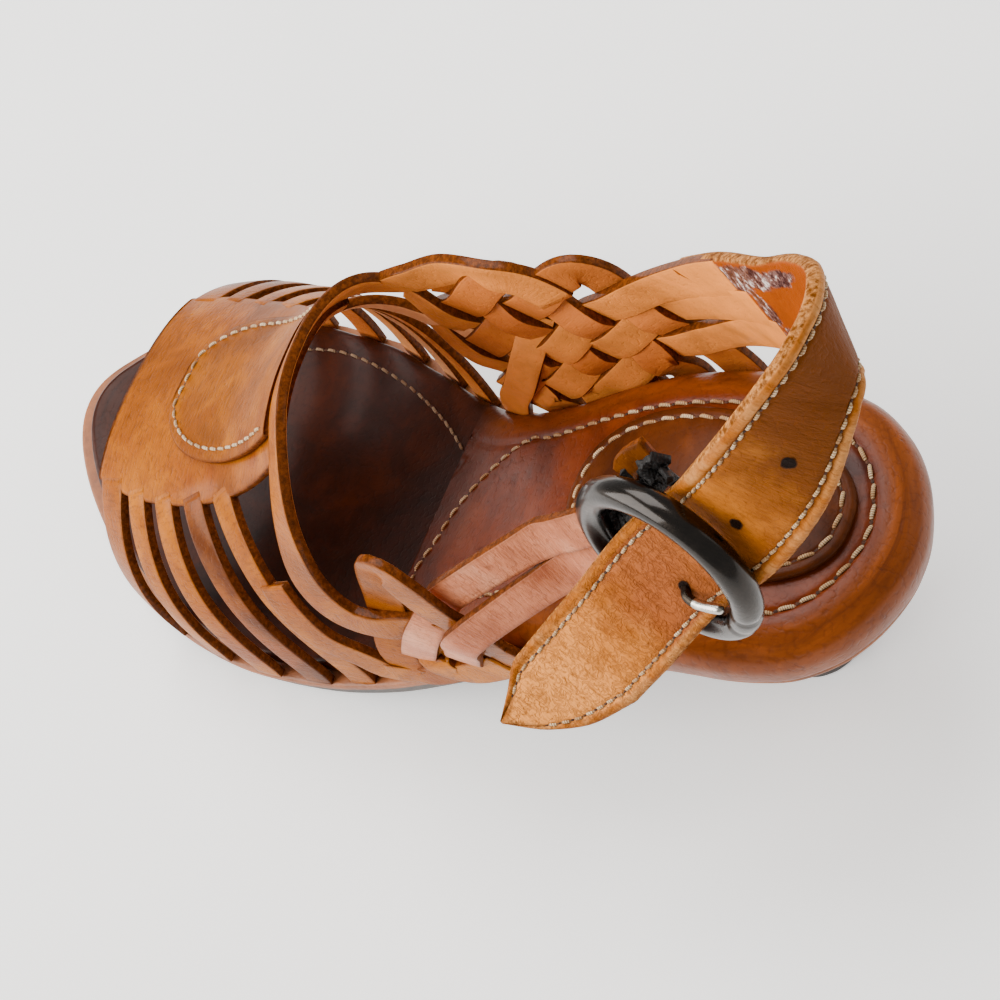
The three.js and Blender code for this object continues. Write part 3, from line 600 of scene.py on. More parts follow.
def leather(name, dark, mid, light, cut, flesh, tint, roughness, coat, wrinkle, specular=0.12, darkening=0.3,
            zones=(), holes=(), glue=(), bead=None, creased=None, fuzzy_back=True, varied=0.0):
    """Vegetable leather: blotches, pores, wrinkles with painted shade, raw cut edges and a flesh side.

    Zones on the face are stains, painted shade and painted light; glue with painted glints is on the flesh
    side.
    A bead is the colour of rolled edges. Creased is the stretch along the strip where fine wrinkles set in.
    """
    m = Hide(name, roughness, 0, coat, 0.16, specular)
    dark, mid, light, cut, flesh = (vivid(c) for c in (dark, mid, light, cut, flesh))
    raw_light = brighter(cut, 2.6)
    blotch = m.noise(75, 4, 0.6, 0.4)
    cloud = m.noise(22, 2, 0.5)
    shade = blotch * 0.62 + cloud * 0.38 + (m.tone - 0.5) * 0.28
    colour = m.ramp(shade, (0.3, dark), (0.5, mid), (0.68, light))
    colour = m.mix(m.between(m.noise(38, 3, 0.6), 0.5, 0.7), colour, vivid(tint))
    if zones:
        colour = m.tinted(colour, zones)
    if bead:
        raw_light = srgb(*bead)
        rolled = m.mix(m.between(blotch, 0.4, 0.6), mid, raw_light)
        colour = m.mix(m.between(m.edge, 2.3, 1.5), colour, rolled)
    pores = m.between(m.cells(1150), 0.55, 0.95)
    colour = m.mix(pores * 0.3, colour, dark)
    colour = m.mix(m.between(m.noise(420, 3, 0.7), 0.64, 0.74) * darkening, colour, cut)
    folds = m.noise(1.6, 4, 0.65, 0.5, m.vector(m.along * 0.9, m.across * 0.16, m.tone))
    height = folds * wrinkle + pores * -0.16 + m.noise(2300, 2, 0.6) * 0.06
    if creased:
        winding = abs(m.noise(460, 3, 0.6, 1.2) - 0.5)
        wrinkles = m.between(winding, 0.07, 0.0) * m.between(m.along, *creased)
        # Painted shade in the troughs of the fine wrinkles
        colour = m.mix(wrinkles * 0.35, colour, dark)
        height = height - wrinkles * 0.4
    colour = m.mix(m.between(m.edge, 1.1, 0.1) * 0.35, colour, cut)
    # Painted shade in the troughs of the folds
    colour = m.mix(m.between(folds, 0.5, 0.34) * 0.4, colour, dark)
    fuzz = m.noise(900, 4, 0.7)
    raw = m.mix(m.between(fuzz, 0.35, 0.7), cut, raw_light)
    colour = m.mix(m.between(m.side, 0.75, 0.25), colour, raw)
    back = m.between(m.side, -0.3, -0.8)
    if fuzzy_back:
        colour = m.mix(back, colour, m.mix(m.between(fuzz, 0.4, 0.65), flesh, mid))
    else:
        colour = m.mix(back, colour, m.inside(shade, cloud, dark, flesh, varied))
    cut_only = m.between(m.side, 0.75, 0.25) * m.between(m.side, -0.75, -0.25)
    height = height + fuzz * cut_only * 0.9
    surface = m.noise(160, 3, 0.6) * 0.3 + (roughness - 0.15)
    surface = m.math("ADD", surface, cut_only * 0.4, clamp=True)
    if glue:
        shine = m.glued(glue) * back
        # Dark and grey-brown glue, with painted glints in its palest colour
        glue_and_glints = m.ramp(m.noise(520, 3, 0.7), (0.42, srgb(62, 36, 34)), (0.56, srgb(132, 96, 88)),
                       (0.66, srgb(226, 212, 204)))
        colour = m.mix(shine, colour, glue_and_glints)
        surface = surface * m.between(shine, 1.3, 0.0)
    if holes:
        colour, height = m.punched(colour, height, holes, cut)
    m.set("Base Color", colour)
    m.set("Roughness", surface)
    m.bump(height, 0.6, 0.0008)
    return m.material


def pit_material():
    m = Shader("needle_pits", 0.8)
    # Painted shade: each pit is a dark disc for the shaded needle hole
    m.set("Base Color", m.ramp(m.noise(600, 2, 0.6), (0.35, srgb(44, 22, 10)), (0.7, srgb(82, 44, 20))))
    return m.material


def thread_material(name, darkening):
    """Twisted waxed thread; the second argument darkens it."""
    m = Shader(name, 0.6)
    along, spin, tone = m.strip()
    twist = m.math("SINE", along * 7.0 + spin)
    colour = m.ramp(m.noise(300, 3, 0.6) * 0.7 + tone * 0.3,
                    (0.3, srgb(160, 118, 74)), (0.5, srgb(210, 180, 136)), (0.75, srgb(232, 210, 174)))
    # Painted shade in the grooves of the twist
    colour = m.mix(m.between(twist, 0.0, -1.0), colour, srgb(150, 106, 64))
    m.set("Base Color", m.mix(darkening, colour, srgb(70, 38, 20)))
    m.bump(twist, 0.5, 0.0003)
    return m.material


def bed_material(name, dark, mid, light, rim, roughness, coat, specular, front_tone_and_shade=None):
    """Polished leather of the footbed: streaked and glossy at the rim, rubbed and darker where the foot lies.

    The last argument is the colour towards the front of the foot, dark leather with painted shade under the
    vamp.
    """
    m = Hide(name, roughness, 0, coat, 0.18, specular)
    dark, mid, light, rim = (vivid(c) for c in (dark, mid, light, rim))
    cloud = m.noise(26, 4, 0.6, 0.5)
    blotch = m.noise(95, 4, 0.65, 0.6)
    pores = m.between(m.cells(900), 0.5, 0.95)
    colour = m.ramp(cloud * 0.6 + blotch * 0.4, (0.34, dark), (0.5, mid), (0.66, light))
    streak = m.noise(3.2, 4, 0.65, 0.8, m.vector(m.edge * 0.1, m.along * 0.035, 0.3))
    rim_colour = m.ramp(streak, (0.3, halfway(dark, rim)), (0.5, rim), (0.68, brighter(rim, 1.3)))
    colour = m.mix(m.between(m.edge, 9.5, 5.5), colour, rim_colour)
    if front_tone_and_shade:
        # Towards the front the colour blends into darker leather with painted shade under the vamp
        front = m.between(m.along + (cloud - 0.5) * 30.0, 112.0, 142.0)
        colour = m.mix(front, colour, m.mix(m.between(blotch, 0.4, 0.62), srgb(*front_tone_and_shade), dark))
    scuff = m.between(m.noise(130, 5, 0.75, 0.0, m.stretched((1, 2.2, 1))), 0.6, 0.72)
    colour = m.mix(scuff * 0.45, colour, dark)
    colour = m.mix(pores * 0.25, colour, dark)
    m.set("Base Color", m.mix(m.between(m.edge, 1.2, -2.5) * 0.4, colour, dark))
    m.set("Roughness", m.math("ADD", m.noise(120, 4, 0.65) * 0.36, roughness - 0.18, clamp=True))
    m.bump(blotch * 0.5 + pores * -0.18 + scuff * -0.2, 0.4, 0.0006)
    return m.material


def sole_material(name, dark, light, roughness, welt=None):
    """Worn rubber; the welt is the leather band over it, down to the groove in the edge."""
    m = Shader(name, roughness)
    cloud = m.noise(60, 4, 0.6)
    grit = m.noise(900, 3, 0.7)
    shade = cloud * 0.75 + grit * 0.25
    colour = m.ramp(shade, (0.35, srgb(*dark)), (0.62, srgb(*light)))
    if welt:
        band = m.ramp(shade, (0.36, srgb(*welt[0])), (0.6, srgb(*welt[1])))
        down = m.strip()[2]
        colour = m.mix(m.between(down, 0.39, 0.35), colour, band)
    m.set("Base Color", colour)
    m.set("Roughness", cloud * 0.3 + (roughness - 0.15))
    lines = m.math("SINE", m.parts(m.where)[2] * 5200.0)
    m.bump(grit + lines * 0.12, 0.35, 0.0005)
    return m.material


def heel_material():
    """Stacked heel: thin leather layers, stained and burnished."""
    m = Shader("stacked_heel", 0.4, 0, 0.25, 0.25)
    level = m.parts(m.where)[2] * 250.0 + m.noise(60, 2, 0.5) * 0.25
    seam = m.between(abs(m.math("FRACT", level) - 0.5), 0.42, 0.49)
    layer = m.value("ShaderNodeTexWhiteNoise", 0, {"W": m.math("FLOOR", level)}, noise_dimensions="1D")
    streak = m.noise(150, 4, 0.65, 0.0, m.stretched((1, 1, 7)))
    colour = m.ramp(layer * 0.3 + streak * 0.7,
                    (0.3, srgb(88, 46, 24)), (0.52, srgb(132, 74, 40)), (0.72, srgb(160, 96, 54)))
    m.set("Base Color", m.mix(seam * 0.8, colour, srgb(48, 24, 13)))
    m.bump(streak * 0.3 - seam, 0.5, 0.0005)
    return m.material


def metal_material(name, dark, light, wear, roughness, coat=0.0):
    """Worn metal; a side over 1.5 marks the darker stretch of a wire."""
    m = Shader(name, roughness, 1.0, coat, 0.12)
    patina = m.noise(140, 5, 0.65, 0.4)
    scratch = m.noise(500, 3, 0.7, 0.0, m.stretched((1, 5, 2)))
    colour = m.ramp(patina * 0.7 + scratch * 0.3, (0.36, srgb(*dark)), (0.64, srgb(*light)))
    colour = m.mix(m.between(m.noise(260, 4, 0.7), 0.62, 0.74), colour, srgb(*wear))
    m.set("Base Color", m.mix(m.between(m.attribute("side"), 1.5, 2.0), colour, srgb(52, 46, 40)))
    m.set("Roughness", patina * 0.35 + (roughness - 0.15))
    m.bump(patina + scratch * 0.4, 0.18, 0.0005)
    return m.material


def elastic_material():
    m = Shader("black_elastic", 0.6, 0, 0, 0.3, 0.3)
    along, across, _ = m.strip()
    ribs = m.math("SINE", across * 7.5)
    weave = ribs * m.math("SINE", along * 11.0)
    lint = m.noise(700, 4, 0.7)
    # Painted shade in the grooves of the weave, over the black of the tape
    m.set("Base Color", m.ramp(weave * 0.25 + lint, (0.3, srgb(6, 4, 4)), (0.85, srgb(22, 15, 13))))
    m.bump(weave + ribs * 0.6, 0.35, 0.0002)
    return m.material


CUT_BROWN = (74, 38, 8)
STRAP_HOLES = [(111.3, 1.0), (129.8, 0.5), (149.8, 3.5)]
# Zones of the strap: along, reach, colour, strength. Stains, with painted shade at 94 and painted light at
# the tip
STRAP_ZONES = [(32, 34, (116, 66, 22), 0.9), (94, 46, (95, 52, 26), 0.92), (151, 17, (154, 92, 62), 0.75),
               (194, 34, (238, 163, 102), 0.84)]
# Old glue, with painted glints, inside the strap where the lining ends: along, across and the reach each way
STRAP_GLUE = [(50, -6.5, 8, 3.8), (59, -7.6, 11, 2.8), (70, -7.6, 8, 2.0), (54.5, 0, 4.5, 4.5),
              (58.5, 6.5, 5, 4), (66, 7.5, 8, 2.4)]

upper_leather = leather(
    "upper_leather", dark=(82, 42, 11), mid=(136, 77, 25), light=(174, 107, 41), cut=CUT_BROWN,
    flesh=(221, 143, 87), tint=(126, 66, 22), roughness=0.34, coat=0.16, wrinkle=0.4, specular=0.02,
    fuzzy_back=False, varied=0.7)
strap_leather = leather(
    "strap_leather", dark=(112, 60, 28), mid=(162, 97, 50), light=(200, 130, 74), cut=(96, 54, 22),
    flesh=(138, 68, 26), tint=(144, 80, 42), roughness=0.48, coat=0.03, wrinkle=0.9, specular=0.03, darkening=0.35,
    zones=STRAP_ZONES, holes=STRAP_HOLES, glue=STRAP_GLUE, bead=(196, 132, 72), creased=(136, 150),
    fuzzy_back=False)
chape_leather = leather(
    "chape_leather", dark=(132, 70, 46), mid=(190, 122, 92), light=(222, 166, 138), cut=CUT_BROWN,
    flesh=(150, 84, 46), tint=(150, 74, 38), roughness=0.44, coat=0.12, wrinkle=0.9)
overlay_leather = leather(
    "overlay_leather", dark=(76, 40, 10), mid=(126, 72, 22), light=(162, 100, 37), cut=CUT_BROWN,
    flesh=(130, 70, 24), tint=(116, 62, 20), roughness=0.38, coat=0.05, wrinkle=0.4, specular=0.03)
thread = thread_material("waxed_thread", 0.0)
darkened_thread = thread_material("darkened_thread", 0.62)
pit_dark = pit_material()
bed_leather = bed_material(
    "footbed_leather", dark=(58, 22, 7), mid=(104, 47, 20), light=(130, 67, 34), rim=(118, 61, 12),
    roughness=0.38, coat=0.06, specular=0.16, front_tone_and_shade=(52, 21, 9))
# The forefoot's colours are partly dark leather and partly painted shade under the vamp
shaded_fore_leather = bed_material(
    "forefoot_leather_and_shade", dark=(22, 8, 3), mid=(40, 16, 7), light=(60, 26, 12), rim=(50, 21, 9),
    roughness=0.4, coat=0.08, specular=0.1)
pad_leather = bed_material(
    "heel_pad_leather", dark=(48, 22, 10), mid=(78, 40, 20), light=(102, 56, 30), rim=(86, 43, 19),
    roughness=0.44, coat=0.05, specular=0.07)
sole_edge = sole_material("outsole_rubber", (38, 33, 31), (82, 70, 62), 0.5, ((104, 52, 18), (158, 90, 42)))
lift_rubber = sole_material("lift_rubber", (28, 25, 24), (60, 54, 50), 0.7)
gunmetal = metal_material("gunmetal", (26, 22, 19), (42, 36, 31), (38, 31, 26), 0.27, 0.45)
bright_wire = metal_material("bright_wire", (150, 146, 138), (206, 202, 192), (120, 110, 96), 0.25)


# Sole

def quarter_turns(count):
    """Steps from one end of an outline over its tip to the other end, close together near the tip."""
    i = np.arange(-count, count + 1)
    return i, 1 - np.cos(math.pi / 2 * i / count)


def heel_loop(front, count):
    """Stations and sides of the outline from the inner front round the heel to the outer front."""
    i, share = quarter_turns(count)
    return front * share, np.where(i < 0, 1, -1)


def toe_loop(back, count):
    """Stations and sides of the outline from the outer back round the toe to the inner back."""
    i, share = quarter_turns(count)
    return LENGTH - (LENGTH - back) * share, np.where(i < 0, -1, 1)


def whole_loop(count):
    i = np.arange(2 * count)
    return LENGTH / 2 * (1 + np.cos(math.pi * i / count)), np.where(i < count, 1, -1)


def inset_loop(stations, closed, inset):
    """The outline of the footbed moved inwards; an open one keeps its two ends on their station."""
    s, side = stations
    points = np.stack([s, swing(s) + np.where(side > 0, medial(s), -lateral(s))], 1)
    if closed:
        along = unit(np.roll(points, -1, 0) - np.roll(points, 1, 0))
    else:
        along = unit(np.gradient(points, axis=0))
    at = points[:, 0] - along[:, 1] * inset
    if not closed:
        at[[0, -1]] = s[[0, -1]]
    return np.stack([at, points[:, 1] + along[:, 0] * inset], 1)


def layered(skin, stations, closed, rows, limits, depth_at, edge_inset=np.zeros_like, columns=17):
    """A layer of the sole: rings from the middle of its top over the edge to its underside.

    Rows are an inset and a share of the depth. Edge inset adds to the insets by station.
    """
    insets = np.array([[inset] for inset, _ in rows]) + edge_inset(stations[0])
    shares = np.array([share for _, share in rows], float)
    rings = []
    for inset, share in zip(insets, shares):
        loop = inset_loop(stations, closed, inset)
        loop[:, 0] = np.clip(loop[:, 0], *limits)
        rings.append(np.column_stack([loop, depth_at(loop[:, 0], share)]))
    rings = np.array(rings)
    count = rings.shape[1]
    strip = np.dstack([rings[..., 0], rings[..., 1], shares[:, None] + 0 * rings[..., 0]])
    points = sole_point(rings[..., 0], rings[..., 1], rings[..., 2])
    skin.add(points, grid_faces(len(rings), count, closed), strip, 1.0, insets)
    pairs = count if closed else count - 1
    half = pairs // 2
    t = np.linspace(0, 1, columns)[None, :, None]
    for k in (0, -1):
        left = rings[k][np.arange(half + 1) % count]
        right = rings[k][(pairs - np.arange(half + 1)) % count]
        s, y, depth = np.moveaxis(left[:, None] * (1 - t) + right[:, None] * t, -1, 0)
        skin.add(sole_point(s, y, depth), grid_faces(half + 1, columns, False),
                 np.dstack([s, y, shares[k] + 0 * s]), 1.0, abs(insets[k, 0]))
    if not closed:
        ends = [0, -1]
        skin.add(points[:, ends], grid_faces(len(rings), 2, False), strip[:, ends], 1.0, insets[:, ends])


STITCH_INSET = 10.0
# Rows of a layer: inset, share of the depth
RIM_EDGE = [(7.6, 0.004), (5, 0.04), (2.2, 0.14), (0.6, 0.31), (0, 0.5), (0.3, 0.8), (1.8, 1)]
RIM_GROOVE = [(1.1, 0), (0.5, 0.016), (0, 0.042), (-0.5, 0.016), (-1.1, 0)]
RIM_ROWS = [(22, 0), (18, 0), (14, 0), (12, 0)]
RIM_ROWS += [(STITCH_INSET + off, share) for off, share in RIM_GROOVE]
RIM_ROWS += [tuple(row) for row in catmull(RIM_EDGE, 22)[0]]
INSOLE_ROWS = [(18, 0), (10, 0), (4, 0), (1.6, 0.01), (0.7, 0.06), (0.25, 0.2), (0.2, 0.5), (0.2, 0.8),
               (1, 1)]
SOLE_ROWS = [(20, 0), (0.8, 0), (0.2, 0.03), (0, 0.08), (0, 0.3), (0.25, 0.36), (0.9, 0.4), (0.9, 0.84),
             (1.1, 0.93), (1.8, 1)]

BED_STEPS, INSOLE_STEPS, SOLE_STEPS = 90, 80, 110

footbed = Skin()
layered(footbed, heel_loop(BREAK, BED_STEPS), False, RIM_ROWS, (0, BREAK), lambda s, share: share * bed(s))
footbed.make("footbed_wrap", bed_leather, "footbed", "footbed")

insole = Skin()
layered(insole, toe_loop(BREAK + GAP, INSOLE_STEPS), False, INSOLE_ROWS, (BREAK + GAP, LENGTH),
        lambda s, share: INSOLE_STEP + (bed(s) - GAP - INSOLE_STEP) * share)
insole.make("forefoot_insole", shaded_fore_leather, "insole", "insole")

outsole = Skin()
layered(outsole, whole_loop(SOLE_STEPS), True, SOLE_ROWS, (-BEYOND, LENGTH + BEYOND),
        lambda s, share: bed(s) + SOLE_GAP + share * sole(s), sole_inset)
outsole.make("outsole_unit", sole_edge, "outsole", "outsole")


# Heel

# Share of the drop, length and width of the section as shares of the seat's
HEEL_TAPER = np.array([(0, 1, 1), (0.16, 0.84, 0.84), (0.4, 0.63, 0.62), (0.7, 0.49, 0.47), (1, 0.44, 0.41)])
HEEL_FOOT = LIFT + GAP
HEEL_RINGS = 26
# Rows of the top piece: height, share of the heel's foot
LIFT_ROWS = [(LIFT, 0.985), (LIFT - 0.5, 1), (0.5, 1), (0, 0.96)]
heel_length, heel_width = (smooth(HEEL_TAPER[:, 0], HEEL_TAPER[:, k]) for k in (1, 2))


def heel_ring(drop, count=56):
    """Section of the heel at a share of the way from the sole down to the top piece."""
    loop = inset_loop(heel_loop(HEEL_BREAST, count), False, HEEL_INSET)
    top = sole_point(loop[:, 0], loop[:, 1], bed(loop[:, 0]) + sole(loop[:, 0]) + SOLE_GAP + GAP)
    centre = sole_point(HEEL_CENTRE[0], HEEL_CENTRE[1], bed(HEEL_CENTRE[0]))
    return np.stack([centre[0] + (top[:, 0] - centre[0]) * heel_length(drop),
                     centre[1] + (top[:, 1] - centre[1]) * heel_width(drop),
                     top[:, 2] + (HEEL_FOOT - top[:, 2]) * drop], 1)


def lift_ring(z, share):
    """Section of the top piece, as the foot of the heel drawn in to a share."""
    foot = heel_ring(1.0)
    ring = foot.mean(0) + (foot - foot.mean(0)) * share
    ring[:, 2] = z
    return ring


def tower(rings, name, material, node, columns=9):
    """A closed stack of rings, each with a flat breast from its last point back to its first."""
    skin = Skin()
    t = np.linspace(0, 1, columns + 1)[1:-1, None]
    grid = np.array([np.vstack([r, r[-1] * (1 - t) + r[0] * t]) for r in rings])
    skin.add(grid, tube_faces(*grid.shape[:2]))
    skin.make(name, material, node, node)


tower([heel_ring(drop) for drop in np.linspace(0, 1, HEEL_RINGS)], "stacked_heel", heel_material(), "heel")
tower([lift_ring(*row) for row in LIFT_ROWS], "top_lift", lift_rubber, "heel_lift")


# Heel pad

PAD = {"back": 13.0, "front": 78.0, "width": 18.5, "thickness": 1.8, "squareness": 0.8}
PAD_SIDES = 120
PAD_TOP = GAP + PAD["thickness"]
PAD_STITCH = 2.6
# The pad counts as this far inside the edge, so that its own edge takes only a little of the rim's colour
PAD_INSIDE = 9.0
# Rows of the pad: inset, height over the footbed
PAD_ROWS = [(0.3, GAP), (0, GAP + 0.5), (0, PAD_TOP - 0.7), (0.25, PAD_TOP - 0.25), (0.8, PAD_TOP),
            (1.8, PAD_TOP), (PAD_STITCH - 0.3, PAD_TOP - 0.12), (PAD_STITCH, PAD_TOP - 0.3),
            (PAD_STITCH + 0.3, PAD_TOP - 0.12), (3.4, PAD_TOP), (6, PAD_TOP), (10, PAD_TOP - 0.15),
            (14.5, PAD_TOP - 0.25)]


def pad_outline(inset):
    """Station and distance across of the pad's outline, moved inwards."""
    angle = around(PAD_SIDES)
    middle, reach = (PAD["back"] + PAD["front"]) / 2, (PAD["front"] - PAD["back"]) / 2
    across = np.sign(np.sin(angle)) * np.abs(np.sin(angle)) ** PAD["squareness"]
    return middle + (reach - inset) * np.cos(angle), (PAD["width"] - inset) * across


heel_pad = Skin()
pad_lines = [pad_outline(inset) for inset, _ in PAD_ROWS]
heel_pad.add([sole_point(s, y, -height) for (s, y), (_, height) in zip(pad_lines, PAD_ROWS)],
             tube_faces(len(PAD_ROWS), PAD_SIDES), [np.stack([s, y, 0 * s], 1) for s, y in pad_lines], 1.0,
             [[inset + PAD_INSIDE] for inset, _ in PAD_ROWS])
heel_pad.make("heel_sock", pad_leather, "heel_pad", "heel_pad")


# Upper

STRIP, ROOT_STRIP, POST_WIDTH = 9.2, 8.8, 7.5
WEAVE = 1.25
# Below this height a braid is pushed out over the rim, by the lift once it is the reach further down
RIM_PUSH = {"height": 4, "reach": 6, "lift": 0.5}
# Braids as strips of station, height over the footbed and side of the wall: -1 inside, 1 outside
INNER_BRAID = [
    [(125, 24, 1), (112.4, 28.8, -1), (101.5, 32.8, 1), (90.6, 36.7, -1), (83, 39.5, -0.6), (76.5, 38.5, 0.3),
     (72.5, 33, 0.9), (69.8, 25.5, 1), (63.9, 16.4, -1), (57.8, 7, 1), (54, 0.5, 0.4), (50.5, -7, 0.2),
     (49, -13, 0.1)],
    [(132, 38, 0.5), (120.5, 41.3, 1), (109.6, 45.2, -1), (101, 48.5, -0.5), (95, 46.5, 0.4), (90.6, 36.7, 1),
     (80.7, 21.5, -1), (74.8, 12.5, 1), (68.6, 3, -1), (64, -6, 0.2), (62, -13, 0.1)],
    [(119, 55, 1), (109.6, 45.2, 1), (101.5, 32.8, -1), (91.6, 17.5, 1), (85.8, 8.5, -1), (79.6, -1, 1),
     (75.5, -8, 0.2), (74, -13.5, 0.1)],
    [(130, 54, 1), (120.5, 41.3, -1), (112.4, 28.8, 1), (102.5, 13.6, -1), (96.7, 4.5, 1), (90.5, -6, -0.6),
     (88, -13, 0)],
    [(133, 42, 0.5), (123, 25, -1), (113.4, 9.6, 1), (107.6, 0.5, -1), (103, -7, 0.4), (101, -13, 0.1)],
]
OUTER_BRAID = [
    [(103, -6.5, 0.3), (111, -8.5, 0.5), (118.5, -6, 0.7), (120.5, 3, 0.5), (117, 14, -1), (112, 25, -1),
     (108, 33.5, -0.4), (102.5, 39, 0.8), (97, 33.5, 1.5), (91.5, 20.5, 1.8), (87, 9.5, 1.3), (83, -2, 0.6),
     (80.5, -11, 0.1)],
    [(86, -9.5, 0.3), (95, -11, 0.5), (104, -10, 0.7), (109.5, -3, 0.6), (110, 5, -1), (108, 12, -1.4),
     (105.5, 18, -1.6)],
    [(147, 37, 0.6), (140, 19, 0.8), (132, 7, 0.8), (124, -3, 0.7), (116, -9, 0.2)],
]
# The slit root of the strap: along and across on the strap, then station, height and side of the wall
ROOT_STRIPS = [
    ([(46, -6.5), (34, -6.8)],
     [(61, 28.2, -1.5), (69.8, 25.5, -1), (80.7, 21.5, 1), (91.6, 17.5, -1), (102.5, 13.6, 1),
      (113.4, 9.6, -1), (120, 6, 0)]),
    ([(50, 0.5), (38, 0.3)],
     [(57, 19.3, -0.6), (63.9, 16.4, 1), (74.8, 12.5, -1), (85.8, 8.5, 1), (96.7, 4.5, -1), (107.6, 0.5, 1),
      (113, -4, 0)]),
    ([(54, 7), (44, 7.2)],
     [(50, 9.8, -1.6), (57.8, 7, -1.2), (68.6, 3, 1), (79.6, -1, -1), (88, -6, 0)]),
]
# A post at the front of the inner braid: station, height, lift
POST = [(94, 30, 0.9), (99, 24.5, 0.5), (104, 19, -1.9), (112, 10.5, -2.6), (121, 0, -1.5), (126, -7, 0)]
# The collar is one long strip from the inner braid over the instep into the outer braid.
# On both sides its rows are station, height and lift, and over the crest they are station, turn and lift.
COLLAR_WIDTH, COLLAR_LEATHER = 10.0, LEATHER * 1.05
COLLAR_INNER = [(84, 34, -1.2), (90, 44, -1.2), (98, 51, -1.2), (110, 56, 0.9), (121, 58.5, 0.9),
                (131, 60.5, 0.9)]
COLLAR_CREST = [(137, 1.13, 1.2), (140, 1.36, 1.2), (140.5, math.pi / 2, 1.3),
                (140, math.pi - 1.36, 1.2), (137, math.pi - 1.13, 1.2)]
COLLAR_OUTER = [(133, 50, 1.2), (131, 38, 1.2), (126, 27, 1.2), (117, 19.5, 1.2), (107, 14, 0.1),
                (98, 8, 0.1), (91, 1, 0.1), (86, -6, 0.1), (83.5, -12, 0.1)]
PANEL = {"back": 140.0, "front": 214.0, "spread": (0.5, 0.62), "sewn": 0.9}
OVERLAY = {"back": 143.0, "front": 192.0, "spread": 0.36, "thickness": 1.5}
OVERLAY_LIFT = LEATHER / 2 + GAP + OVERLAY["thickness"] / 2
SIDE_BAND = {"from": 153, "to": 118, "height": 30, "width": 10, "bow": 0.68}
# Straps of the fan: station on the panel, station on the footbed, width
FAN = [(165, 141, 7), (175, 155, 7), (186, 170, 7), (197, 185, 7), (208, 202, 10)]
# Height of a fan strap where it turns down, its end over the sole, and its bend as shares of both ways
FAN_BASE, FAN_TUCK, FAN_BEND = 3, 2.5, (0.55, 0.5)
SHEET_COLUMNS = 25


def sheet_on_last(skin, back, front, spread, lift, thickness, rows):
    """A panel of the last between two stations, with the section of a cut edge on both sides."""
    fine = np.linspace(-0.95, 0.95, SHEET_COLUMNS)
    face, flesh = [(v, 1.0, 1) for v in fine], [(v, -1.0, -1) for v in fine[::-1]]
    section = face + FIRST_CUT_EDGE + flesh + SECOND_CUT_EDGE
    v, h, side = np.array(section, float).T
    share = np.linspace(0, 1, rows)[:, None]
    s = back + (front - back) * share + 0 * v
    points, _ = station(s, math.pi / 2 - spread(share) * v, lift + h * thickness / 2)
    half = np.linalg.norm(points[:, :1] - points[:, SHEET_COLUMNS - 1:SHEET_COLUMNS], axis=-1) / 2
    end = np.minimum(s - back, front - s)
    inside = np.where(end < 0.01, 0.0, 1.0)
    skin.add(points, tube_faces(*s.shape, flip=True), np.dstack([s, v * half, 0.5 + 0 * s]), side * inside,
             np.minimum(half * (1 - np.abs(v)), end))


def panel_spread(share):
    return PANEL["spread"][0] + (PANEL["spread"][1] - PANEL["spread"][0]) * share


def overlay_spread(share):
    return OVERLAY["spread"] * np.sqrt(1.02 - share**4)


def panel_edge(s, side):
    """Turn of the line where straps leave the panel."""
    share = (s - PANEL["back"]) / (PANEL["front"] - PANEL["back"])
    return math.pi / 2 - side * panel_spread(share) * PANEL["sewn"]


def fan_strap(start, end, side):
    """A strap from the edge of the panel down between the footbed and the sole."""
    top, base = panel_edge(start, side), float(turn_at(end, FAN_BASE, side))
    middle = (start + (end - start) * FAN_BEND[0], top + (base - top) * FAN_BEND[1], 0)
    tucked = wall_row(end, sole_drop(end) + FAN_TUCK, side, 0)
    return route_on_last([(start, top, 0), middle, (end, base, 0), tucked])


def braid_strip(rows, side):
    """One strip of a braid, in and out of the others, and pushed out a little where it passes the rim."""
    line = []
    for s, height, over in rows:
        push = RIM_PUSH["lift"] * np.clip((RIM_PUSH["height"] - height) / RIM_PUSH["reach"], 0, 1)
        line.append(wall_row(s, height, side, over * WEAVE + push))
    return route_on_last(line, step=1.0)


def collar():
    inner = [wall_row(s, height, 1, lift) for s, height, lift in COLLAR_INNER]
    outer = [wall_row(s, height, -1, lift) for s, height, lift in COLLAR_OUTER]
    return route_on_last(inner + COLLAR_CREST + outer, step=1.2)


def side_band():
    start, end = SIDE_BAND["from"], SIDE_BAND["to"]
    top, foot = panel_edge(start, 1), float(turn_at(end, SIDE_BAND["height"], 1))
    middle = ((start + end) / 2, top + (foot - top) * SIDE_BAND["bow"], 0)
    return route_on_last([(start, top, 0), middle, (end, foot, 0)])


upper = Skin()
sheet_on_last(upper, PANEL["back"], PANEL["front"], panel_spread, 0, LEATHER, rows=60)
for side in (1, -1):
    for start, end, width in FAN:
        ribbon(upper, *fan_strap(start, end, side), width, LEATHER)
for braid, side in ((INNER_BRAID, 1), (OUTER_BRAID, -1)):
    for rows in braid:
        ribbon(upper, *braid_strip(rows, side), STRIP, BRAID_LEATHER)
ribbon(upper, *route_on_last([wall_row(s, height, 1, lift) for s, height, lift in POST]), POST_WIDTH, LEATHER)
ribbon(upper, *collar(), COLLAR_WIDTH, COLLAR_LEATHER, tone=0.6)
ribbon(upper, *side_band(), SIDE_BAND["width"], LEATHER)
upper.make("woven_upper", upper_leather, "upper", "upper")

overlay = Skin()
sheet_on_last(overlay, OVERLAY["back"], OVERLAY["front"], overlay_spread, OVERLAY_LIFT,
              OVERLAY["thickness"], rows=50)
overlay.make("vamp_tongue", overlay_leather, "vamp_overlay", "vamp_overlay")


# Buckle

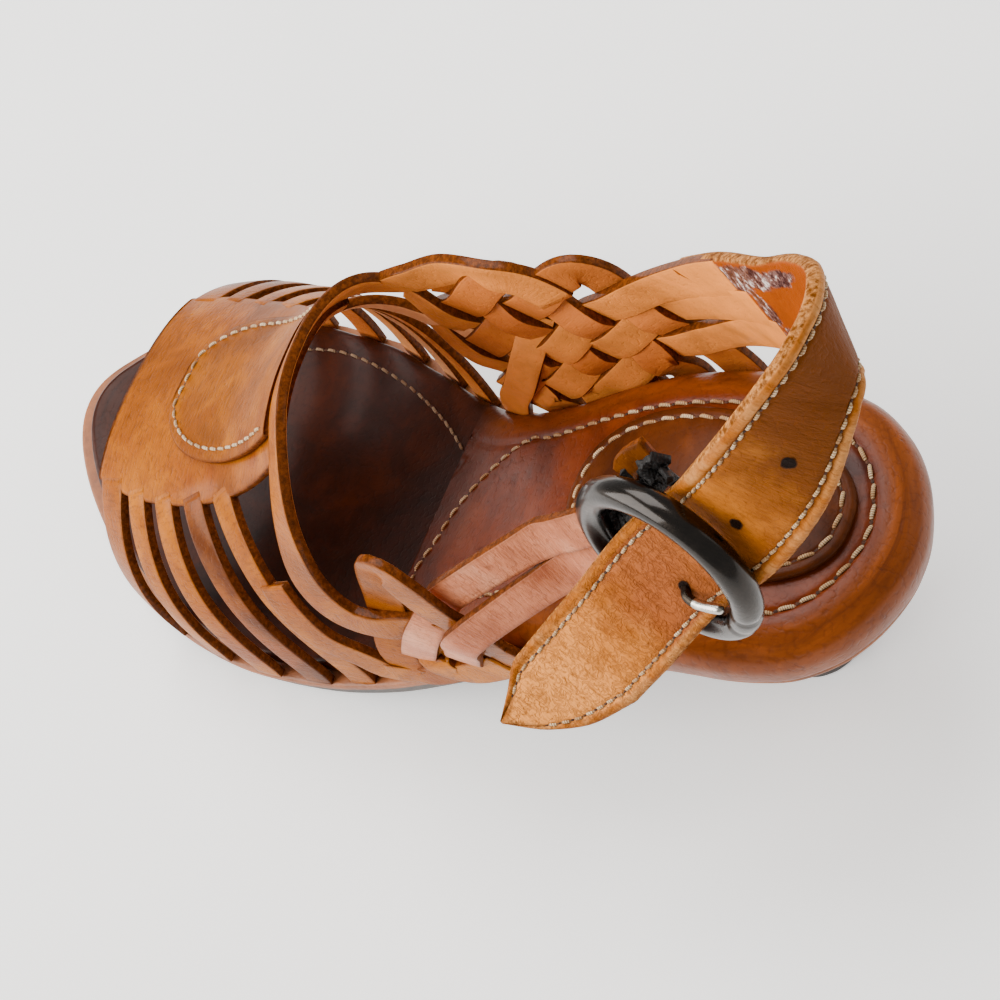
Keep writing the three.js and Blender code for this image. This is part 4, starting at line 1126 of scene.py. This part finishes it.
RING_CENTRE = np.array([-30, -27.3, 86.5 + BALL_TOP])
RING_FACE = unit(np.array([-0.233, -0.96, 0.153]))
STRAP_WAY = np.array([-0.486, -0.02, -0.874])
RING_ALONG = unit(STRAP_WAY - RING_FACE * (STRAP_WAY @ RING_FACE))
RING_ACROSS = np.cross(RING_FACE, RING_ALONG)
RING_STEPS, RING_SIDES = 160, 28
PRONG_WIRE = 0.95
# The prong's way in the ring: along, across, out
PRONG = [(3, -9, -2.2), (2.4, -4, -2.6), (1.2, 2.5, -1.4), (0.2, 5.0, 1.4), (-0.6, 6.4, 3.4),
         (-1.9, 8.4, 3.9), (-3.9, 10.4, 3.7), (-6.0, 12.6, 3.1)]
# The prong is darker up to this share of its length
DARK_SHARE = 0.77
# Two notches of wear lie beside the place where the prong rests
NOTCHES = {"at": math.atan2(13.4, -2.5), "beside": (-0.16, 0.1), "reach": 0.035, "depth": 0.09}


def ring_point(along, across, out):
    return RING_CENTRE + along * RING_ALONG + across * RING_ACROSS + out * RING_FACE


def wire_tube(skin, points, radii, sides=16):
    """A round wire along points."""
    along = unit(np.gradient(points, axis=0))
    first = unit(np.cross(along[0], RING_FACE + 0.3 * RING_ALONG))
    spin = around(sides)
    grid = []
    for point, radius, direction in zip(points, radii, along):
        first = unit(first - direction * (first @ direction))
        second = np.cross(direction, first)
        grid.append(point + radius * (np.cos(spin)[:, None] * first + np.sin(spin)[:, None] * second))
    colour_mark = np.where(np.linspace(0, 1, len(points)) < DARK_SHARE, 2.2, 1.0)[:, None]
    skin.add(grid, tube_faces(len(points), sides), side=colour_mark)


prong = Skin()
line = even(catmull([ring_point(*row) for row in PRONG], 120)[0], 0.4)
ends = np.minimum(arc_length(line), arc_length(line[::-1])[::-1])
rounding = (1 - ends / PRONG_WIRE).clip(0, 0.95) ** 2
wire_tube(prong, line, PRONG_WIRE * np.sqrt(np.clip(1 - rounding, 0.05, 1)))
prong.make("prong_wire", bright_wire, "buckle_prong", "buckle_prong")

ring = Skin()
turns = around(RING_STEPS)[:, None]
spin = around(RING_SIDES)
notch = sum(bell(np.angle(np.exp(1j * (turns - NOTCHES["at"] - beside))) / NOTCHES["reach"])
            for beside in NOTCHES["beside"])
wire = RING_WIRE * (1 - NOTCHES["depth"] * notch) * (1 - 0.03 * np.cos(2 * spin))
reach = RING_RADIUS + wire * np.cos(spin)
last_row = (RING_STEPS - 1) * RING_SIDES
following = [(j + 1) % RING_SIDES for j in range(RING_SIDES)]
ring.add(RING_CENTRE + (reach * np.cos(turns))[..., None] * RING_ALONG
         + (reach * np.sin(turns))[..., None] * RING_ACROSS + (wire * np.sin(spin))[..., None] * RING_FACE,
         grid_faces(RING_STEPS, RING_SIDES, True)
         + [[last_row + j, last_row + k, k, j] for j, k in enumerate(following)])
ring.make("buckle_ring_wire", gunmetal, "buckle_ring", "buckle_ring")


# Ankle strap

# The strap's way round the ankle: a point, its height taken from the ball of the foot, and a normal
STRAP_BACK = [(-60, 26.7, 66, 0, 1, 0), (-46, 25.8, 79.5, 0.12, 1, 0), (-30, 20, 95.5, 0.38, 0.92, 0),
              (-15, 11.4, 109.5, 0.62, 0.78, 0.05), (-6.5, 6.8, 118.3, 0.8, 0.58, 0.12),
              (-1, 1.2, 124, 0.93, 0.3, 0.2), (0.2, -4, 124.8, 0.93, -0.25, 0.27),
              (-1.2, -9, 122.3, 0.78, -0.55, 0.3), (-5, -14.7, 116.3, 0.54, -0.78, 0.32),
              (-10.3, -19.3, 108, 0.28, -0.89, 0.36)]
# Then through the ring, as along, across and out, and on to the tip
STRAP_RING = [(-13.5, 4.1, -5.1), (0, 1.5, 1.1), (14, 1, 10), (22, 0.6, 13.6)]
STRAP_TIP = [(-51, -49, 61, 0.1, -0.75, 0.62), (-57, -58, 56, 0.245, -0.563, 0.784)]
STRAP_HALF = STRAP_WIDTH / 2
# Pointed end: way from the tip, upper half width, lower half width
STRAP_POINT = np.array([(0, 5.6, -5), (5, 8, 2.5), (12, STRAP_HALF, 8), (22, STRAP_HALF, STRAP_HALF)])
# The lower edge is drawn in where the strap turns round the back of the ankle: along, reach, share
DRAWN_IN = (95, 15, 0.28)
# The whole strap ends at a slanted cut near its root, where it is slit into three strips
STRAP_CUT = (28.0, 46.0)
# Creases of the strap: along, across, half length, depth, skew
STRAP_CREASES = [
    (140, -2, 8, 0.34, 0.25), (144.5, 4, 6, 0.3, -0.2), (155, -3, 7, 0.36, 0.15), (159.5, 2, 8, 0.26, -0.1),
    (164, -4, 6, 0.2, 0.2), (134, 5, 5, 0.22, 0.3), (122, -4, 6, 0.2, 0.2), (94, -3, 8, 0.2, 0.1),
    (99, 3, 8, 0.2, -0.15), (89, 2, 7, 0.18, 0.2), (74, -2, 8, 0.16, 0.1), (104, -5, 5, 0.2, 0.2)]
# A crease is a trough of this width, with a low ridge beside it: way along, width, share of the depth
TROUGH, RIDGE = 1.1, (2.2, 1.3, 0.4)
# In the ring the strap's face leans back by this much
STRAP_LEAN = 0.42


def place_knot(row):
    x, y, z, *normal = row
    return np.r_[x, y, z + BALL_TOP, unit(np.array(normal, float))]


def strap_relief(run, place):
    """Soft troughs across the strap where it bends at the ring and round the back of the ankle."""
    height = 0 * run
    for along, across, half, depth, skew in STRAP_CREASES:
        off = run - along - skew * (place - across)
        sideways = (place - across) / half
        height = height - depth * bell(off / TROUGH, sideways)
        height = height + RIDGE[2] * depth * bell((off - RIDGE[0]) / RIDGE[1], sideways)
    return height


strap_lean = unit(RING_FACE - STRAP_LEAN * RING_ALONG)
strap_knots = [place_knot(row) for row in STRAP_BACK]
strap_knots += [np.r_[ring_point(*row), strap_lean] for row in STRAP_RING]
strap_knots += [place_knot(row) for row in STRAP_TIP]
strap_points, strap_normals = route_in_air(strap_knots, count=500, step=0.8)
strap_along = unit(np.gradient(strap_points, axis=0))
strap_across = unit(np.cross(strap_normals, strap_along))
strap_face = np.cross(strap_along, strap_across)
strap_run = arc_length(strap_points)
strap_left = strap_run[-1] - strap_run
strap_upper = smooth(STRAP_POINT[:, 0], STRAP_POINT[:, 1])(strap_left)
strap_lower = smooth(STRAP_POINT[:, 0], STRAP_POINT[:, 2])(strap_left)
strap_lower = strap_lower * (1 - DRAWN_IN[2] * bell((strap_run - DRAWN_IN[0]) / DRAWN_IN[1]))
slant_edge = np.interp(strap_run, STRAP_CUT, (1.5 - STRAP_HALF, STRAP_HALF))
strap_lower = np.minimum(strap_lower, slant_edge)
keep = strap_run > STRAP_CUT[0]


def strap_place(run, across, out):
    i = int(np.argmin(abs(strap_run - run)))
    return np.r_[strap_points[i] + strap_across[i] * across + strap_face[i] * out, strap_normals[i]]


def wall_place(s, height, side, lift):
    return np.concatenate(station(np.array(float(s)), turn_at(s, height, side), np.array(float(lift))))


ankle_strap = Skin()
ribbon(ankle_strap, strap_points[keep], strap_normals[keep], np.stack([strap_lower, strap_upper], 1)[keep],
       STRAP_LEATHER, BEADED, 0.5, strap_relief, strap_run[keep][0])
ankle_strap.make("ankle_strap_leather", strap_leather, "ankle_strap", "ankle_strap")

root_strips = Skin()
for on_strap, on_wall in ROOT_STRIPS:
    knots = [strap_place(run, across, -0.4) for run, across in on_strap]
    knots += [wall_place(s, height, 1, over * WEAVE) for s, height, over in on_wall]
    ribbon(root_strips, *route_in_air(knots, count=200), ROOT_STRIP, BRAID_LEATHER, tone=0.55)
root_strips.make("strap_root_strips", upper_leather, "ankle_strap")


# Chape and elastic

CHAPE_AT = unit(np.array([0.884, -0.468]))
CHAPE_STRIP, CHAPE_NARROWING = 8.0, 0.05
# The fold passes under the ring: way out from the ring, height over its face, width
CHAPE_FOLD = [(-9, -3.8, 12.4), (-5, -4.5, 13.6), (0, -4.5, 14.8), (6, -3.8, 15.8), (11, -1.9, 16.4),
              (16, -0.2, 16.6), (20, 0.8, 16.8)]
# Behind the slit its two strips run down into the outer braid: station, height, lift
CHAPE_ROOTS = [[(87, 22.5, -1.2), (95.5, 17, -2.0), (104, 12, 1.7), (110.5, 5.7, 1.4), (117, -2, -0.6)],
               [(85, 12, 5.2), (91, 5, 4.2), (95.5, -0.5, 2.6), (98.5, -5, 0.6), (100, -8, -1)]]
CHAPE_TONES = (0.7, 0.4)
# A short leather end stands beside the elastic: along, across, out
TAB_END = [(-5, -14.6, -5.6), (-9, -15.2, -5.8), (-12.5, -14.6, -6.4), (-15, -13.6, -7.6)]
TAB_WIDTH = 5.0
# The elastic is bunched under the ring in three folds: along, across, out
ELASTIC_PATH = [(9.5, -11.4, -1.6), (5, -10.8, -3.2), (0, -10.8, -4.4), (-5, -11.2, -5.4), (-10, -11.6, -6.3),
                (-14.5, -11.2, -7.2)]
# Folds of the elastic: place across, phase of the waves, width
ELASTIC_FOLDS = [(-2.3, 0.0, 3.4), (0.1, 2.1, 3.8), (2.4, 4.4, 3.2)]
ELASTIC_THICKNESS = 1.5


def chape_point(out, face):
    reach = RING_RADIUS + out
    return ring_point(CHAPE_AT[0] * reach, CHAPE_AT[1] * reach, face)


def wave(run, height, rate, phase):
    return height * np.sin(run * rate + phase)


def elastic_ribs(run, place):
    return wave(run, 0.25, 2.6, 1.3 * place)


chape = Skin()
chape_side = -CHAPE_AT[1] * RING_ALONG + CHAPE_AT[0] * RING_ACROSS
fold_reach = arc_length(np.array([chape_point(out, face) for out, face, _ in CHAPE_FOLD]))
fold_half = [width / 4 + 0.15 for _, _, width in CHAPE_FOLD]
for shift, rows, tone in zip((-0.5, 0.5), CHAPE_ROOTS, CHAPE_TONES):
    knots = [np.r_[chape_point(out, face) + chape_side * shift * width / 2, RING_FACE]
             for out, face, width in CHAPE_FOLD]
    knots += [wall_place(s, height, -1, lift) for s, height, lift in rows]
    points, normals = route_in_air(knots, step=0.8)
    run = arc_length(points)
    half = np.interp(run, fold_reach, fold_half)
    beyond = run - fold_reach[-1]
    half = np.where(beyond > 0, np.maximum(CHAPE_STRIP / 2, half - CHAPE_NARROWING * beyond), half)
    ribbon(chape, points, normals, np.stack([half, half], 1), LEATHER, tone=tone)
tab_end = Skin()
tab_knots = [np.r_[ring_point(*row), RING_FACE] for row in TAB_END]
ribbon(tab_end, *route_in_air(tab_knots, count=60, step=0.5), TAB_WIDTH, LEATHER * 0.8, tone=0.1)
tab_end.make("elastic_leather_end", overlay_leather, "elastic_tab")
chape.make("chape_leather_fold", chape_leather, "buckle_chape", "buckle_chape")

elastic = Skin()
for offset, phase, width in ELASTIC_FOLDS:
    fold = even(catmull([ring_point(a, c + offset, o) for a, c, o in ELASTIC_PATH], 120)[0], 0.35)
    run = arc_length(fold)
    swell = wave(run, 0.55, 0.9, phase) + wave(run, 0.35, 2.3, 2 * phase)
    drift = wave(run, 0.5, 0.6, 1.7 * phase)
    roll = wave(run, 0.7, 0.5, phase)
    fold = fold + RING_FACE * swell[:, None] + RING_ACROSS * drift[:, None]
    normals = RING_FACE * np.cos(roll)[:, None] + RING_ACROSS * np.sin(roll)[:, None]
    half = width / 2 * (1 + wave(run, 0.18, 1.3, phase))
    ribbon(elastic, fold, normals, np.stack([half, half], 1), ELASTIC_THICKNESS, CUT, 0.5, elastic_ribs)
elastic.make("elastic_fold", elastic_material(), "elastic_tab", "elastic_tab")


# Stitching

# Threads: pitch, length of a stitch, radius, slant
RIM_THREAD = (4.3, 3.6, 0.42, 0.14)
CROSSING_THREAD = (3.7, 3.1, 0.36, 0.14)
FORE_THREAD = (3.6, 2.8, 0.38, 0.1)
PAD_THREAD = (4.6, 3.8, 0.42, 0.14)
STRAP_THREAD = (2.6, 2.0, 0.32)
STRAP_SLANT = 0.12
TONGUE_THREAD = (3.4, 2.6, 0.38, 0.1)
# The row along the rim leaves it on both sides and crosses the footbed: station, distance across
RIM_ENDS = (104, 128)
CROSSING = [(104, 15.5), (112, 13.7), (122, 6.7), (128, -1.2), (131, -10.5), (133.5, -17.3), (132, -25),
            (128, -28.4)]
FORE_ROW = [(138.5, 15.5), (151, 24), (168, 32.5), (188, 37), (205, 35)]
# The strap's channel as a share of its half width, its floor as a share of the thickness over the middle,
# how far from the tip its rows end, and where each row starts
CHANNEL, CHANNEL_FLOOR, TIP_FREE = 0.745, 0.36, 4.0
STRAP_ROWS = [(1, STRAP_CUT[1] + 1), (-1, STRAP_CUT[0] + 6)]
# The row on the tongue: way in from the edge as a turn, and the shares of the tongue between its ends
TONGUE_INSET = 2.6 / 42
TONGUE_SHARES = (0.04, 0.955)


def on_sole(line, lift):
    """Points and normals of a line of station and distance across, on the footbed."""
    line = even(np.asarray(line, float), 0.5)
    slope = bed_slope(line[:, 0])
    return sole_point(line[:, 0], line[:, 1], -lift), np.stack([slope, 0 * slope, np.sqrt(1 - slope**2)], 1)


bed_stitch, bed_pits, fore_stitch = Skin(), Skin(), Skin()
loop = inset_loop(heel_loop(BREAK, BED_STEPS), False, STITCH_INSET)
is_inner = np.arange(len(loop)) <= BED_STEPS
rim_row = loop[np.where(is_inner, loop[:, 0] < RIM_ENDS[0], loop[:, 0] < RIM_ENDS[1])]
stitches(bed_stitch, bed_pits, *on_sole(rim_row, lift=-0.3), *RIM_THREAD)
stitches(bed_stitch, bed_pits, *on_sole(catmull(CROSSING, 80)[0], lift=0.0), *CROSSING_THREAD)
stitches(fore_stitch, bed_pits, *on_sole(catmull(FORE_ROW, 80)[0], -INSOLE_STEP + 0.05), *FORE_THREAD)
fore_stitch.make("forefoot_stitches", darkened_thread, "insole")
pad_row = np.stack(pad_outline(PAD_STITCH), 1)
stitches(bed_stitch, bed_pits, *on_sole(np.vstack([pad_row, pad_row[:1]]), PAD_TOP - 0.25), *PAD_THREAD)
bed_stitch.make("footbed_stitches", thread, "footbed")
bed_pits.make("footbed_needle_pits", pit_dark, "footbed")

strap_stitch, strap_pits = Skin(), Skin()
strap_middle, strap_half = (strap_lower - strap_upper) / 2, (strap_lower + strap_upper) / 2
for sign, first in STRAP_ROWS:
    sewn = (strap_left > TIP_FREE) & (strap_run > first)
    channel = (strap_middle + sign * CHANNEL * strap_half)[:, None]
    line = strap_points + strap_across * channel + strap_face * (CHANNEL_FLOOR * STRAP_LEATHER)
    stitches(strap_stitch, strap_pits, line[sewn], strap_face[sewn], *STRAP_THREAD, STRAP_SLANT * sign)
strap_stitch.make("strap_stitches", thread, "ankle_strap")
strap_pits.make("strap_needle_pits", pit_dark, "ankle_strap")

tongue_stitch, tongue_pits = Skin(), Skin()
share = np.linspace(*TONGUE_SHARES, 120)
inner_row = np.column_stack([OVERLAY["back"] + (OVERLAY["front"] - OVERLAY["back"]) * share,
                             math.pi / 2 - (overlay_spread(share) - TONGUE_INSET)])
outer_row = np.column_stack([inner_row[::-1, 0], math.pi - inner_row[::-1, 1]])
line = even(np.vstack([inner_row, outer_row]) * [1, TURN_SCALE], 0.8) / [1, TURN_SCALE]
tongue_top = np.full(len(line), OVERLAY_LIFT + OVERLAY["thickness"] / 2 - 0.05)
stitches(tongue_stitch, tongue_pits, *station(line[:, 0], line[:, 1], tongue_top), *TONGUE_THREAD)
tongue_stitch.make("tongue_stitches", thread, "vamp_overlay")
tongue_pits.make("tongue_needle_pits", pit_dark, "vamp_overlay")


# Stage

def stage_material():
    m = Shader("pale_floor", 0.85)
    m.set("Base Color", m.ramp(m.noise(14, 3, 0.5), (0.3, (0.93, 0.93, 0.925)), (0.7, (0.96, 0.96, 0.955))))
    m.set("Emission Color", (1.0, 1.0, 1.0))
    m.set("Emission Strength", 0.4)
    return m.material


FLOOR = 3.0
floor_mesh = bpy.data.meshes.new("floor")
floor_mesh.from_pydata([(-FLOOR, -FLOOR, 0), (FLOOR, -FLOOR, 0), (FLOOR, FLOOR, 0), (-FLOOR, FLOOR, 0)], [],
                       [[0, 1, 2, 3]])
floor_mesh.materials.append(stage_material())
floor = add_object("floor", floor_mesh)

# Camera: the photograph's angle to the shoe, turned a little to take in the whole of it.
# Pixels are the focal length in the image, and aim is the place in the photograph that comes to the middle.
CAMERA = {"azimuth": 41.52, "elevation": 56.46, "roll": -25.38, "distance": 378.7,
          "target": (-42.9, 28.7, 52.0), "pixels": 1880.0, "photo_pixels": 1985.0, "aim": (228.0, 640.0)}
IMAGE = 1000.0
SENSOR = 36.0


def camera_axes():
    """Right, up and back of the photograph's camera."""
    az, el, roll = (math.radians(CAMERA[k]) for k in ("azimuth", "elevation", "roll"))
    back = np.array([math.sin(az) * math.cos(el), -math.cos(az) * math.cos(el), math.sin(el)])
    right = unit(np.cross([0, 0, 1], back))
    up = np.cross(back, right)
    return (math.cos(roll) * right + math.sin(roll) * up, math.cos(roll) * up - math.sin(roll) * right, back)


right, up, back = camera_axes()
position = np.array(CAMERA["target"]) + back * CAMERA["distance"] + [0, 0, BALL_TOP]
shift = (np.array(CAMERA["aim"]) - IMAGE / 2) / CAMERA["photo_pixels"]
back = unit(back - right * shift[0] + up * shift[1])
right = unit(np.cross(up, back))
up = np.cross(back, right)
camera_data = bpy.data.cameras.new("camera")
camera_data.sensor_width = SENSOR
camera_data.lens = SENSOR * CAMERA["pixels"] / IMAGE
camera_data.clip_start = 0.01
camera = add_object("camera", camera_data)
rotation = Matrix([[right[k], up[k], back[k]] for k in range(3)]).to_4x4()
camera.matrix_world = Matrix.Translation(Vector((position + ORIGIN) * MM)) @ rotation
bpy.context.scene.camera = camera

WORLD_COLOUR, WORLD_STRENGTH = (1, 0.985, 0.96, 1), 0.5
world = bpy.data.worlds.new("studio")
world.use_nodes = True
background = world.node_tree.nodes["Background"]
background.inputs[0].default_value = WORLD_COLOUR
background.inputs[1].default_value = WORLD_STRENGTH
bpy.context.scene.world = world

LAMP_AIM = (0.0, 0.0, 0.06)


def lamp(name, place, size, power, colour):
    data = bpy.data.lights.new(name, "AREA")
    data.shape = "RECTANGLE"
    data.size, data.size_y = size
    data.energy = power
    data.color = colour
    obj = add_object(name, data)
    obj.location = place
    obj.rotation_euler = (Vector(LAMP_AIM) - Vector(place)).to_track_quat("-Z", "Y").to_euler()


lamp("window", (-1.25, -0.95, 1.0), (1.8, 1.5), 74, (1, 0.97, 0.93))
lamp("overhead", (-0.42, 0.45, 1.2), (0.9, 0.9), 19, (1, 0.98, 0.96))
lamp("rim", (0.75, 0.7, 0.6), (0.8, 0.6), 1.5, (1, 0.96, 0.9))
